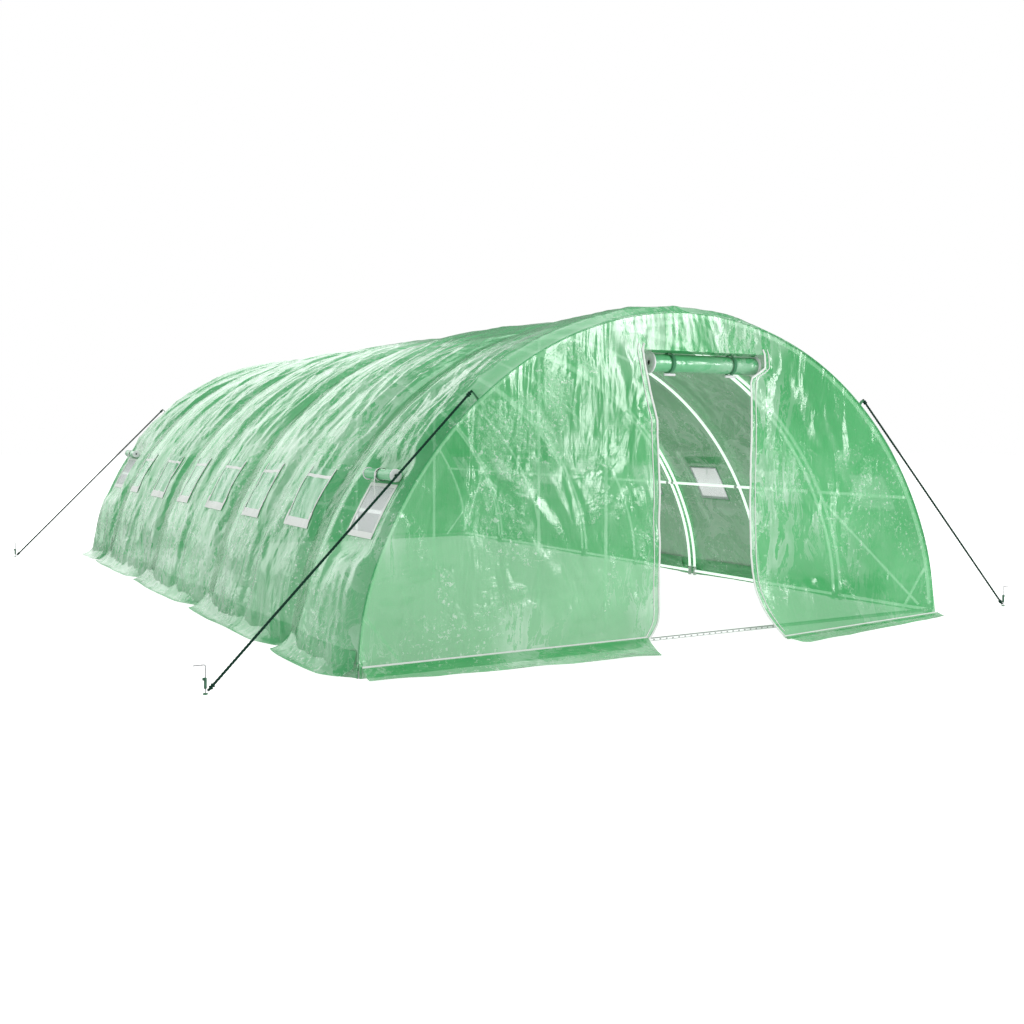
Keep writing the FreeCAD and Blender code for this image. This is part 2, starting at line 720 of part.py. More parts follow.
# ---------------------------------------------------------------- check and write
doc.recompute()
for item in doc.Objects:
    if "Invalid" in item.State or "Error" in item.State:
        raise RuntimeError(f"{item.Name} failed: {item.State}")
labels = [item.Label for item in nodes]
if len(set(labels)) != len(labels) or len(labels) > 60:
    raise RuntimeError(f"{len(labels)} nodes, {len(set(labels))} names")
for item in nodes:
    shape = item.Shape
    if shape.isNull() or not shape.isValid() or not shape.Solids or shape.Volume <= 0:
        raise RuntimeError(f"{item.Label} has no valid solid")
    shape.exportStep(f"parts/{item.Label}.step")

for end_name, _ in ENDS:
    for side, _ in SIDES:
        rope = doc.getObject(f"Rope_{end_name}_{side}")
        section = math.pi * size("rope_diameter") ** 2 / 4
        length = rope.Height.Value
        share = rope.Shape.Volume / (section * length)
        print(f"rope {end_name} {side}: straight, {length:.0f} mm, volume share {share:.4f}")
print(f"{len(nodes)} nodes, leg radius {leg_radius:.1f}, roof radius {roof_radius:.1f}")
print(f"sill {sill_angle:.2f}, head {head_angle:.2f}, purlin {purlin_angle:.2f} degrees")
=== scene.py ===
import math

import bpy
import numpy as np
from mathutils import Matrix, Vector


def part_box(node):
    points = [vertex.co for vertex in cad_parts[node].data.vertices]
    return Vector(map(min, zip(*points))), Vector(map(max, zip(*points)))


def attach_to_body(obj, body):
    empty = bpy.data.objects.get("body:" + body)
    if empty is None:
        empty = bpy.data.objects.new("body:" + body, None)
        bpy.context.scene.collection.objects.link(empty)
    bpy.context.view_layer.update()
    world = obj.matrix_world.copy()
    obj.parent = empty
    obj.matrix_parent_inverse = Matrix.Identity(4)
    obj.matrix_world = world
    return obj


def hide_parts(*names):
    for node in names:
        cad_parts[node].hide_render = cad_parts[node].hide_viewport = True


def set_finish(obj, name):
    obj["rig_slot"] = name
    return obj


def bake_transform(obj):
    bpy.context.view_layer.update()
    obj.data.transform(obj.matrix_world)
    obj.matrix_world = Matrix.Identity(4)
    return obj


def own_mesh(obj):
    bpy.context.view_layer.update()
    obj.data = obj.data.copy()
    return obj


# Walk-in tunnel greenhouse: woven film, nets, zips, rolled doors and windows, ropes and
# finishes round a steel frame. Metres, +Z up, X across the tunnel, Y along it, front at -Y.
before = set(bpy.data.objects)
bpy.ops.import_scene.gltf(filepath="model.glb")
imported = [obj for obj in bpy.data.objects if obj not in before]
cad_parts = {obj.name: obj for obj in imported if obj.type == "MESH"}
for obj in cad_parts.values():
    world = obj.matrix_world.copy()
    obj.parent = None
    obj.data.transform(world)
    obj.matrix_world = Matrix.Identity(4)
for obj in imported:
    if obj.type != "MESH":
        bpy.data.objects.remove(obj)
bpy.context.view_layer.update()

# ---------------------------------------------------------------- camera
CAMERA_PLACE = (-5.219, -10.424, 1.484)
CAMERA_HEADING = 29.70
CAMERA_ROLL = -0.18
CAMERA_LENS = 40.59
CAMERA_SHIFT = (0.0147, -0.0788)

camera = bpy.data.objects.new("camera", bpy.data.cameras.new("camera"))
camera.location = CAMERA_PLACE
camera.rotation_euler = (math.radians(90), math.radians(CAMERA_ROLL), math.radians(-CAMERA_HEADING))
camera.data.lens = CAMERA_LENS
camera.data.shift_x, camera.data.shift_y = CAMERA_SHIFT
bpy.context.scene.collection.objects.link(camera)
bpy.context.scene.camera = camera

# ---------------------------------------------------------------- sizes: the frame's, and the cover's own
hoop_low, hoop_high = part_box("hoop_front")
rail_low, rail_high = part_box("base_rail_front")
TUBE = (rail_high.z - rail_low.z) / 2
RAIL = (rail_high.z + rail_low.z) / 2
HALF_SPAN = hoop_high.x - TUBE
HALF_LENGTH = -(hoop_high.y + hoop_low.y) / 2
RISE = hoop_high.z - TUBE - RAIL
LEG = math.radians(20)
BAYS = 8
BAY = 2 * HALF_LENGTH / BAYS
TWIN = 0.04
SILL_LEVEL = 0.780
HEAD_LEVEL = 1.120
WINDOW_WIDTH = 0.380
DOOR_LEFT = -0.310
DOOR_RIGHT = 0.550
DOOR_HEAD = 2.050
FILM_GAP = 0.0185

# Two leg arcs and one roof arc, tangent to the uprights, to each other and at the apex.
determinant = (1 - math.cos(LEG)) * (1 - math.sin(LEG)) - math.cos(LEG) * math.sin(LEG)
LEG_RADIUS = (HALF_SPAN * (1 - math.sin(LEG)) - RISE * math.cos(LEG)) / determinant
ROOF_RADIUS = (RISE * (1 - math.cos(LEG)) - HALF_SPAN * math.sin(LEG)) / determinant
LEG_CENTRE = HALF_SPAN - LEG_RADIUS
ROOF_CENTRE = RAIL + RISE - ROOF_RADIUS
LEG_LENGTH = LEG_RADIUS * LEG
ARCH_LENGTH = 2 * (RAIL + LEG_LENGTH + ROOF_RADIUS * (math.pi / 2 - LEG))


def arch(across, offset):
    """Points and outward normals along the arch, by the length across it from the left ground line."""
    side = np.where(across < ARCH_LENGTH / 2, -1.0, 1.0)
    up = np.minimum(across, ARCH_LENGTH - across)
    leg_turn = np.clip((up - RAIL) / LEG_RADIUS, 0, LEG)
    roof_turn = np.maximum((up - RAIL - LEG_LENGTH) / ROOF_RADIUS, 0)
    turn = leg_turn + roof_turn
    on_roof = roof_turn > 0
    radius = np.where(on_roof, ROOF_RADIUS, LEG_RADIUS) + offset
    x = np.where(on_roof, 0, LEG_CENTRE) + radius * np.cos(turn)
    z = np.where(on_roof, ROOF_CENTRE, RAIL) + radius * np.sin(turn) + np.minimum(up - RAIL, 0)
    return side * x, z, side * np.cos(turn), np.sin(turn)


def length_up(level):
    """The length along the arch from the ground to a level above the base rails."""
    turn = math.asin((level + RAIL - ROOF_CENTRE) / ROOF_RADIUS)
    return RAIL + LEG_LENGTH + ROOF_RADIUS * (turn - LEG)


def across_at(side, up):
    return up if side < 0 else ARCH_LENGTH - up


SILL = length_up(SILL_LEVEL)
HEAD = length_up(HEAD_LEVEL)
NET_TOP = HEAD - 0.055
SIDES = {"left": -1, "right": 1}
ENDS = {"front": -1, "rear": 1}


def middle(node):
    low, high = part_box(node)
    return (low + high) / 2


WINDOW_PLACES = [middle(f"window_roll_right_{number}").y for number in range(1, BAYS + 1)]

# ---------------------------------------------------------------- noise for folds and creases
HASH = (127.1, 311.7, 74.7, 43758.5453)


def smooth(value):
    value = np.clip(value, 0, 1)
    return value * value * (3 - 2 * value)


def noise(a, b, seed):
    """Smooth two-way gradient noise, about -0.7 to 0.7."""
    cell_a, cell_b = np.floor(a), np.floor(b)
    part_a, part_b = a - cell_a, b - cell_b

    def corner(step_a, step_b):
        mixed = np.sin((cell_a + step_a) * HASH[0] + (cell_b + step_b) * HASH[1] + seed * HASH[2]) * HASH[3]
        turn = 2 * math.pi * (mixed - np.floor(mixed))
        return np.cos(turn) * (part_a - step_a) + np.sin(turn) * (part_b - step_b)

    ease_a, ease_b = smooth(part_a), smooth(part_b)
    low = corner(0, 0) * (1 - ease_a) + corner(1, 0) * ease_a
    high = corner(0, 1) * (1 - ease_a) + corner(1, 1) * ease_a
    return low * (1 - ease_b) + high * ease_b


def creases(a, b, lean, length, width, seed):
    """Sharp folds that run at an angle of lean degrees to a: 1 on a fold, falling off at its sides."""
    turn = math.radians(lean)
    along = (a * math.cos(turn) + b * math.sin(turn)) / length
    beside = (b * math.cos(turn) - a * math.sin(turn)) / width
    wander = noise(along * 1.7, beside * 0.6, seed + 1)
    return np.maximum(0, 1 - 2.4 * np.abs(noise(along, beside + wander, seed)))


# ---------------------------------------------------------------- mesh makers
def grid_faces(rows, cols, keep=None, close_rows=False, close_cols=False):
    """Quads over a grid of points; keep says which cells are there."""
    row_starts = np.arange(rows - (not close_rows))
    col_starts = np.arange(cols - (not close_cols))
    row, col = np.meshgrid(row_starts, col_starts, indexing="ij")
    if keep is not None:
        row, col = row[keep], col[keep]
    next_row, next_col = (row + 1) % rows, (col + 1) % cols
    quads = [row * cols + col, next_row * cols + col, next_row * cols + next_col, row * cols + next_col]
    return np.stack([q.ravel() for q in quads], axis=1).tolist()


def grid(points, keep=None, **closed):
    """A shape over a grid of points, shaped (rows, cols, 3)."""
    rows, cols = points.shape[:2]
    return points.reshape(-1, 3), grid_faces(rows, cols, keep, **closed)


def slab(top, bottom):
    """A closed thin plate between two grids of points."""
    rows, cols = top.shape[:2]
    upper = grid_faces(rows, cols)
    count = rows * cols
    rim = list(range(cols))
    rim += [r * cols + cols - 1 for r in range(1, rows)]
    rim += [(rows - 1) * cols + c for c in range(cols - 2, -1, -1)]
    rim += [r * cols for r in range(rows - 2, 0, -1)]
    faces = [f[::-1] for f in upper] + [[i + count for i in f] for f in upper]
    faces += [[a, b, b + count, a + count] for a, b in zip(rim, rim[1:] + rim[:1])]
    return np.concatenate([top.reshape(-1, 3), bottom.reshape(-1, 3)]), faces


def unit(vectors):
    return vectors / np.maximum(np.linalg.norm(vectors, axis=-1, keepdims=True), 1e-9)


def round_section(radius, sides=8):
    turns = np.arange(sides) * 2 * math.pi / sides
    return np.stack([radius * np.cos(turns), radius * np.sin(turns)], axis=1)


def flat_section(width, thickness):
    """A webbing's section: flat, with eased corners."""
    a, b, ease = width / 2, thickness / 2, thickness / 4
    corners = [(a, b - ease), (a - ease, b), (ease - a, b), (-a, b - ease)]
    return np.array(corners + [(-x, -y) for x, y in corners])


def sweep(path, side, section, closed=False):
    """A section carried along a path; its first axis points to side."""
    path = np.asarray(path, float)
    ahead = np.roll(path, -1, 0) - np.roll(path, 1, 0) if closed else np.gradient(path, axis=0)
    ahead = unit(ahead)
    side = np.broadcast_to(np.asarray(side, float), path.shape)
    across = unit(side - ahead * (side * ahead).sum(1, keepdims=True))
    up = np.cross(ahead, across)
    points = path[:, None] + section[None, :, :1] * across[:, None] + section[None, :, 1:] * up[:, None]
    verts, faces = grid(points, close_rows=closed, close_cols=True)
    if not closed:
        last = (len(path) - 1) * len(section)
        faces += [list(range(len(section)))[::-1], [last + i for i in range(len(section))]]
    return verts, faces


ASIDE = (0.31, 0.53, 0.79)


def circle(axis, steps):
    """Unit vectors evenly round an axis; no axis here runs along ASIDE."""
    first = unit(np.cross(axis, ASIDE))
    second = np.cross(axis, first)
    turns = np.arange(steps) * 2 * math.pi / steps
    return np.cos(turns)[:, None] * first + np.sin(turns)[:, None] * second


def lathe(centre, axis, outline, steps):
    """A closed outline of (radius, length along axis) turned about an axis."""
    axis = unit(np.asarray(axis, float))
    spokes = circle(axis, steps)
    outline = np.asarray(outline, float)
    points = outline[None, :, :1] * spokes[:, None] + outline[None, :, 1:] * axis
    return grid(points + np.asarray(centre, float), close_rows=True, close_cols=True)


def bushing(inner, outer, length, ease):
    """The outline of a ring with eased edges, centred on its length."""
    half = length / 2
    return [(inner, -half), (outer - ease, -half), (outer, ease - half), (outer, half - ease),
            (outer - ease, half), (inner, half)]


def disc(radius, thickness):
    """The outline of a solid plate with eased edges."""
    half = thickness / 2
    return [(1e-4, -half), (radius - half, -half), (radius, 0), (radius - half, half), (1e-4, half)]


def piece(name, shapes, material, slot, body=None, flat_shaded=False):
    """One Blender piece made of shapes, riding on a body where one is named."""
    verts, faces, start = [], [], 0
    for shape_verts, shape_faces in shapes:
        verts.append(np.asarray(shape_verts))
        faces += [[i + start for i in face] for face in shape_faces] if start else shape_faces
        start += len(shape_verts)
    mesh = bpy.data.meshes.new(name)
    mesh.from_pydata(np.concatenate(verts).tolist(), [], faces)
    if not flat_shaded:
        mesh.shade_smooth()
    mesh.materials.append(material)
    made = bpy.data.objects.new(name, mesh)
    bpy.context.scene.collection.objects.link(made)
    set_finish(made, slot)
    if body:
        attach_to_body(made, body)
    return made


def without_loose(made):
    """Takes away the points that no face uses."""
    mesh = made.data
    used = np.zeros(len(mesh.vertices), bool)
    corners = np.zeros(len(mesh.loops), int)
    mesh.loops.foreach_get("vertex_index", corners)
    used[corners] = True
    points = np.zeros(len(mesh.vertices) * 3)
    mesh.vertices.foreach_get("co", points)
    renumber = np.cumsum(used) - 1
    faces = [[int(renumber[i]) for i in polygon.vertices] for polygon in mesh.polygons]
    mesh.clear_geometry()
    mesh.from_pydata(points.reshape(-1, 3)[used].tolist(), [], faces)
    mesh.shade_smooth()


def divided(edges, step):
    """Grid lines through every edge, about a step apart."""
    lines = []
    for start, end in zip(edges, edges[1:]):
        lines.append(np.linspace(start, end, max(1, round((end - start) / step)), endpoint=False))
    return np.append(np.concatenate(lines), edges[-1])


# ---------------------------------------------------------------- materials
class Shader:
    """A material with a Principled shader and short calls for its nodes."""

    def __init__(self, name, roughness=0.5, **sockets):
        self.material = bpy.data.materials.new(name)
        self.material.use_nodes = True
        self.tree = self.material.node_tree
        self.surface = self.tree.nodes["Principled BSDF"]
        self.surface.inputs["Roughness"].default_value = roughness
        for socket, value in sockets.items():
            self.surface.inputs[socket.replace("_", " ")].default_value = value
        self.place = self.tree.nodes.new("ShaderNodeTexCoord").outputs["Object"]

    def link(self, source, target):
        self.tree.links.new(source, target)

    def node(self, kind, **inputs):
        """A new node with values in its named sockets."""
        made = self.tree.nodes.new(kind)
        for socket, value in inputs.items():
            made.inputs[socket.replace("_", " ")].default_value = value
        return made

    def stretched(self, scale):
        node = self.node("ShaderNodeMapping", Scale=scale)
        self.link(self.place, node.inputs["Vector"])
        return node.outputs["Vector"]

    def noise(self, scale, detail=4.0, roughness=0.5, distortion=0.0, place=None):
        node = self.node("ShaderNodeTexNoise", Scale=scale, Detail=detail, Roughness=roughness,
                         Distortion=distortion)
        self.link(place or self.place, node.inputs["Vector"])
        return node.outputs["Fac"]

    def bands(self, direction, spacing):
        """Bands a spacing apart; at scale 1 a wave texture has one every pi / 10."""
        node = self.node("ShaderNodeTexWave", Scale=math.pi / 10 / spacing)
        node.bands_direction = direction
        self.link(self.place, node.inputs["Vector"])
        return node.outputs["Fac"]

    def ramp(self, factor, *stops):
        """A colour ramp through (position, grey or colour) stops."""
        node = self.tree.nodes.new("ShaderNodeValToRGB")
        while len(node.color_ramp.elements) < len(stops):
            node.color_ramp.elements.new(0.5)
        for element, (position, colour) in zip(node.color_ramp.elements, stops):
            element.position = position
            element.color = (*colour, 1) if hasattr(colour, "__len__") else (colour, colour, colour, 1)
        self.link(factor, node.inputs["Fac"])
        return node.outputs["Color"]

    def maths(self, operation, first, second):
        node = self.tree.nodes.new("ShaderNodeMath")
        node.operation = operation
        for value, socket in zip((first, second), node.inputs):
            if isinstance(value, (int, float)):
                socket.default_value = value
            else:
                self.link(value, socket)
        return node.outputs["Value"]

    def mix(self, factor, first, second):
        node = self.tree.nodes.new("ShaderNodeMix")
        node.data_type = "RGBA"
        for value, socket in zip((factor, first, second), (node.inputs[0], node.inputs[6], node.inputs[7])):
            if isinstance(value, tuple):
                socket.default_value = (*value, 1)
            else:
                self.link(value, socket)
        return node.outputs[2]

    def bump(self, height, strength, distance, under=None):
        node = self.node("ShaderNodeBump", Strength=strength, Distance=distance)
        self.link(height, node.inputs["Height"])
        if under is not None:
            self.link(under, node.inputs["Normal"])
        return node.outputs["Normal"]

    def finish(self, colour, normal=None, roughness=None, alpha=None):
        self.link(colour, self.surface.inputs["Base Color"])
        for value, socket in ((normal, "Normal"), (roughness, "Roughness"), (alpha, "Alpha")):
            if value is not None:
                self.link(value, self.surface.inputs[socket])
        return self.material


# The colour of the painted sheen and painted glints on the films.
SHEEN_GREEN = (0.80, 0.93, 0.84)
WEAVE = 0.011


def film_material(name, deep, light, alpha, sheen, glint, fall):
    """Woven green film: cloudy colour, with painted sheen and painted glints, pale patches, streaks and
    specks that stand in for light reflected off the film.

    alpha is its cover, sheen and glint the strengths of the painted sheen patches and of the painted
    glint specks, and fall the patches' stretch along each axis.
    """
    shader = Shader(name, IOR=1.5, Specular_IOR_Level=0.9, Alpha=alpha)
    green = shader.mix(shader.ramp(shader.noise(0.9, 4), (0.38, 0.0), (0.62, 1.0)), deep, light)
    place = shader.stretched(fall)
    patches = shader.noise(2.3, detail=8, roughness=0.62, distortion=1.6, place=place)
    sheen_patches = shader.ramp(patches, (0.5, 0.0), (0.508, 1.0), (0.60, 0.65), (0.72, 0.2))
    lines = shader.noise(4.2, detail=7, roughness=0.66, distortion=2.0, place=place)
    sheen_streaks = shader.ramp(lines, (0.5, 0.0), (0.51, 0.9), (0.56, 0.0))
    where = shader.ramp(shader.noise(0.8, detail=3), (0.48, 0.05), (0.6, 1.0))
    painted_glints = shader.ramp(shader.noise(30, detail=6, roughness=0.75), (0.56, 0.0), (0.62, 1.0))
    clusters = shader.noise(1.9, detail=4, roughness=0.6, distortion=0.6)
    cluster = shader.ramp(clusters, (0.49, 0.0), (0.58, 1.0))
    painted_glints = shader.maths("MULTIPLY", painted_glints, cluster)
    # The pale patches, streaks and specks are painted sheen and painted glints: light reflected off the
    # film, painted into its colour.
    pale = shader.maths("MULTIPLY", shader.maths("MAXIMUM", sheen_patches, sheen_streaks), where)
    pale = shader.maths("MULTIPLY", pale, sheen)
    pale = shader.maths("MAXIMUM", pale, shader.maths("MULTIPLY", painted_glints, glint))
    colour = shader.mix(pale, green, SHEEN_GREEN)
    weave = shader.maths("ADD", shader.bands("Z", WEAVE), shader.bands("Y", WEAVE))
    weave = shader.maths("ADD", weave, shader.bands("X", WEAVE))
    waves = shader.noise(1.5, detail=3, distortion=1.2, place=place)
    normal = shader.bump(waves, strength=0.5, distance=0.06)
    wrinkles = shader.noise(5, detail=4, distortion=1.0, place=place)
    normal = shader.bump(wrinkles, strength=0.16, distance=0.015, under=normal)
    crumple = shader.maths("MULTIPLY", shader.noise(24, detail=6, roughness=0.65), cluster)
    normal = shader.bump(crumple, strength=0.6, distance=0.008, under=normal)
    normal = shader.bump(weave, strength=0.15, distance=0.0006, under=normal)
    rough = shader.ramp(shader.noise(5, 3), (0.3, 0.10), (0.7, 0.24))
    return shader.finish(colour, normal, rough)


GRAIN_BUMP = 0.2
GRAIN_DEPTH = 0.0005


def plain_material(name, dark, light, scale, roughness, **sockets):
    """A solid finish with cloudy colour and a fine grain in its surface."""
    shader = Shader(name, roughness, **sockets)
    colour = shader.mix(shader.ramp(shader.noise(scale, 4), (0.35, 0.0), (0.7, 1.0)), dark, light)
    grain = shader.noise(scale * 6, 6, 0.6)
    rough = shader.ramp(grain, (0.3, max(roughness - 0.08, 0.05)), (0.75, roughness + 0.1))
    return shader.finish(colour, shader.bump(grain, GRAIN_BUMP, GRAIN_DEPTH), rough)


def webbing_material(name, dark, light, rib):
    """Woven tape: ribs across it, painted lighter on their crowns and darker between them, painted highlight
    and painted shade.
    """
    shader = Shader(name, 0.75, Sheen_Weight=0.2)
    ribs = shader.maths("MULTIPLY", shader.bands("DIAGONAL", rib), shader.bands("Z", rib * 1.3))
    colour = shader.mix(shader.ramp(ribs, (0.1, 0.0), (0.8, 1.0)), dark, light)
    return shader.finish(colour, shader.bump(ribs, 0.5, 0.0006))


EVEN = (1, 1, 1)
DOWNWARD = (1.6, 1.6, 0.55)
# Each film's sheen and glint set the strength of its painted sheen and painted glints.
film = film_material("green_film", (0.045, 0.38, 0.12), (0.08, 0.47, 0.165),
                     alpha=0.92, sheen=0.36, glint=0.7, fall=EVEN)
wall_film = film_material("green_wall_film", (0.050, 0.41, 0.120), (0.09, 0.50, 0.17),
                          alpha=0.84, sheen=0.38, glint=0.45, fall=DOWNWARD)
# The flap film is a paler copy of the film with stronger painted sheen: painted light, so the closed flaps
# do not read darker over their double layer.
flap_film = film_material("green_flap_film", (0.12, 0.47, 0.21), (0.17, 0.55, 0.27),
                          alpha=0.90, sheen=0.45, glint=0.5, fall=EVEN)
# A darker half-clear film with little painted sheen, laid over the cover at each twin hoop; it darkens the
# cover there.
twin_hoop_film = film_material("green_twin_hoop_film", (0.04, 0.36, 0.11), (0.065, 0.43, 0.14),
                          alpha=0.50, sheen=0.05, glint=0.0, fall=EVEN)
# The rolled film is painted paler than the cover's: painted highlight for the light caught on the rolls.
lit_rolled_film = film_material("green_rolled_film", (0.10, 0.48, 0.20), (0.16, 0.58, 0.27),
                            alpha=0.94, sheen=0.3, glint=0.2, fall=EVEN)
white_tape = webbing_material("white_tape", (0.72, 0.78, 0.73), (0.93, 0.96, 0.93), 0.004)
green_strap = webbing_material("green_strap", (0.03, 0.20, 0.085), (0.07, 0.31, 0.14), 0.003)
dark_strap = webbing_material("dark_strap", (0.015, 0.05, 0.03), (0.05, 0.12, 0.08), 0.003)
# The frame's paint glows: painted light that keeps the tubes pale where they are seen through the film.
glowing_tube_paint = plain_material("glowing_tube_paint", (0.84, 0.87, 0.84), (0.95, 0.96, 0.95), 9, 0.32, IOR=1.5,
                            Emission_Color=(0.84, 1.0, 0.88, 1), Emission_Strength=0.85)
fitting_plastic = plain_material("fitting_plastic", (0.72, 0.74, 0.73), (0.84, 0.86, 0.84), 30, 0.5)
white_plastic = plain_material("white_plastic", (0.82, 0.82, 0.84), (0.93, 0.93, 0.94), 25, 0.42)
bore_shade_black = plain_material("bore_shade_black", (0.004, 0.004, 0.004), (0.015, 0.015, 0.015), 40, 0.6)
zinc = plain_material("zinc", (0.30, 0.31, 0.32), (0.55, 0.56, 0.58), 60, 0.35, Metallic=1.0)
dark_bolt = plain_material("dark_bolt", (0.03, 0.03, 0.03), (0.09, 0.09, 0.09), 60, 0.45, Metallic=0.6)
sleeve_green = plain_material("sleeve_green", (0.03, 0.12, 0.065), (0.06, 0.19, 0.11), 50, 0.5)


def net_material():
    """Insect mesh: a fine square grid of pale threads with open cells."""
    shader = Shader("insect_mesh", 0.7)
    threads = shader.maths("MAXIMUM", shader.bands("Y", 0.004), shader.bands("Z", 0.0036))
    # The threads are painted lighter towards their crowns: painted highlight.
    crowns = shader.ramp(threads, (0.55, 0.0), (0.95, 1.0))
    colour = shader.mix(crowns, (0.60, 0.60, 0.66), (0.84, 0.83, 0.87))
    open_cells = shader.ramp(threads, (0.5, 0.42), (0.9, 0.86))
    return shader.finish(colour, shader.bump(threads, 0.4, 0.0005), alpha=open_cells)


def rope_material():
    """Dark green twisted cord."""
    shader = Shader("rope_green", 0.8, Specular_IOR_Level=0.25)
    fibres = shader.noise(420, 4, 0.6)
    lit = shader.ramp(fibres, (0.3, 0.0), (0.75, 1.0))
    colour = shader.mix(lit, (0.001, 0.022, 0.012), (0.005, 0.065, 0.036))
    return shader.finish(colour, shader.bump(fibres, 0.5, 0.0006))


def rail_material():
    """Pale rail that glows a little, painted light; painted shade along its top and bottom edges, where the
    tube turns from the light; and a row of small holes painted dark, painted shade in them.
    """
    # The rail's paint glows a little: painted light.
    shader = Shader("glowing_rail_paint", 0.4, Emission_Color=(0.9, 1.0, 0.93, 1), Emission_Strength=0.2)
    spread = shader.tree.nodes.new("ShaderNodeSeparateXYZ")
    shader.link(shader.place, spread.inputs["Vector"])
    height = shader.maths("ABSOLUTE", shader.maths("SUBTRACT", spread.outputs["Z"], RAIL), 0.0)
    # Darker towards the tube's top and bottom edges: painted shade where the round tube turns from the
    # light.
    lines = shader.ramp(shader.maths("DIVIDE", height, TUBE), (0.45, 0.0), (0.7, 1.0))
    # Small holes in a row, painted dark: painted shade inside them.
    holes = shader.ramp(shader.bands("X", 0.055), (0.80, 0.0), (0.88, 1.0))
    low = shader.ramp(shader.maths("DIVIDE", height, TUBE), (0.3, 1.0), (0.4, 0.0))
    dark = shader.maths("MAXIMUM", lines, shader.maths("MULTIPLY", holes, low))
    colour = shader.mix(dark, (0.85, 0.88, 0.86), (0.10, 0.12, 0.11))
    return shader.finish(colour, shader.bump(holes, 0.3, 0.001))


net = net_material()
glowing_rail_paint = rail_material()
rope_green = rope_material()

CAD_FINISHES = (
    (glowing_tube_paint, ("hoop", "centre_posts", "end_braces", "side_braces", "base_rail_left", "base_rail_right",
                  "rear_door_bar", "purlin_left", "purlin_right", "ridge_purlin")),
    (glowing_rail_paint, ("base_rail_front", "base_rail_rear")),
    (fitting_plastic, ("purlin_clamps", "feet")),
    (white_plastic, ("window_bar",)),
    (zinc, ("clamp_bolts", "peg")),
    (dark_bolt, ("foot_bolts",)),
    (green_strap, ("rope_fittings",)),
)
for node_name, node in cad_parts.items():
    for finish, starts in CAD_FINISHES:
        if node_name.startswith(starts):
            for slot_index in range(len(node.material_slots)):
                node.material_slots[slot_index].material = finish

# ---------------------------------------------------------------- guy ropes
ROPE = 0.018
STRAIGHT_END = 6 * ROPE
STRANDS = 3
ROPE_LAY = 0.070
STRAND = ROPE * 0.27
RING_GAP = 0.022
RING_LEVEL = 0.008
TAB_ANGLE = math.radians(48.8)
ROPE_STANDOFF = 0.088
RING_OFFSET = 0.0035
KNOT_POINTS = (3, 5, -6, -4)

# Outlines of turned parts: inner radius, outer radius, length and eased edge.
KNOT = (ROPE * 0.42, ROPE * 0.8, ROPE * 0.7, ROPE * 0.25)
SLEEVE = (0.0042, 0.0085, 0.062, 0.002)
SLEEVE_LEVEL = 0.068
PIN = (0.002, 0.0055, 0.016, 0.002)
PIN_REACH = 0.012
PIN_LEVEL = 0.092


def rope_line(start, end):
    """The centre line of a taut rope, as points read from its spline."""
    ahead = (end - start).normalized() * STRAIGHT_END
    curve = bpy.data.curves.new("rope_route", "CURVE")
    curve.dimensions = "3D"
    curve.resolution_u = 64
    spline = curve.splines.new("NURBS")
    route = (start, start + ahead, end - ahead, end)
    spline.points.add(len(route) - 1)
    for point, place in zip(spline.points, route):
        point.co = (*place, 1)
    spline.order_u = 3
    spline.use_endpoint_u = True
    holder = bpy.data.objects.new("rope_route", curve)
    bpy.context.scene.collection.objects.link(holder)
    line = np.array([tuple(v.co) for v in bpy.data.meshes.new_from_object(holder).vertices])
    bpy.data.objects.remove(holder)
    steps = np.append(0, np.cumsum(np.linalg.norm(np.diff(line, axis=0), axis=1)))
    even = np.linspace(0, steps[-1], int(steps[-1] / (ROPE_LAY / 9)))
    return np.stack([np.interp(even, steps, line[:, axis]) for axis in range(3)], axis=1), even


def rope(end_name, side_name):
    """A taut three-strand rope from a hoop's tab to its peg, with its whippings and the peg's sleeve."""
    side, end_sign = SIDES[side_name], ENDS[end_name]
    reach = ROOF_RADIUS + ROPE_STANDOFF
    y = end_sign * HALF_LENGTH
    start = Vector((side * reach * math.cos(TAB_ANGLE), y, ROOF_CENTRE + reach * math.sin(TAB_ANGLE)))
    low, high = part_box(f"peg_{end_name}_{side_name}")
    ring = Vector((low.x if side > 0 else high.x, y, RING_LEVEL))
    ring.x += side * RING_OFFSET
    end = ring - (ring - start).normalized() * RING_GAP
    line, lengths = rope_line(start, end)
    ahead = np.array((end - start).normalized())
    first = unit(np.cross(ahead, (0, 1, 0)))
    second = np.cross(ahead, first)
    shapes = []
    for strand in range(STRANDS):
        turn = 2 * math.pi * (lengths / ROPE_LAY + strand / STRANDS)
        spoke = np.cos(turn)[:, None] * first + np.sin(turn)[:, None] * second
        shapes.append(sweep(line + spoke * (ROPE / 2 - STRAND), spoke, round_section(STRAND)))
    name = f"{end_name}_{side_name}"
    made = piece(f"guy_rope_{name}", shapes, rope_green, "rope", "root")
    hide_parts(f"rope_{name}")
    knots = [lathe(line[index], ahead, bushing(*KNOT), 20) for index in KNOT_POINTS]
    tie = piece(f"guy_rope_whipping_{name}", knots, rope_green, "rope", "root")
    pin_x = ring.x + side * PIN_REACH
    sleeve = [lathe((ring.x, ring.y, SLEEVE_LEVEL), (0, 0, 1), bushing(*SLEEVE), 24),
              lathe((pin_x, ring.y, PIN_LEVEL), (0, 0, 1), bushing(*PIN), 16)]
    piece(f"peg_sleeve_{name}", sleeve, sleeve_green, "rope", f"peg_{name}")


for end_name in ENDS:
    for side_name in SIDES:
        rope(end_name, side_name)

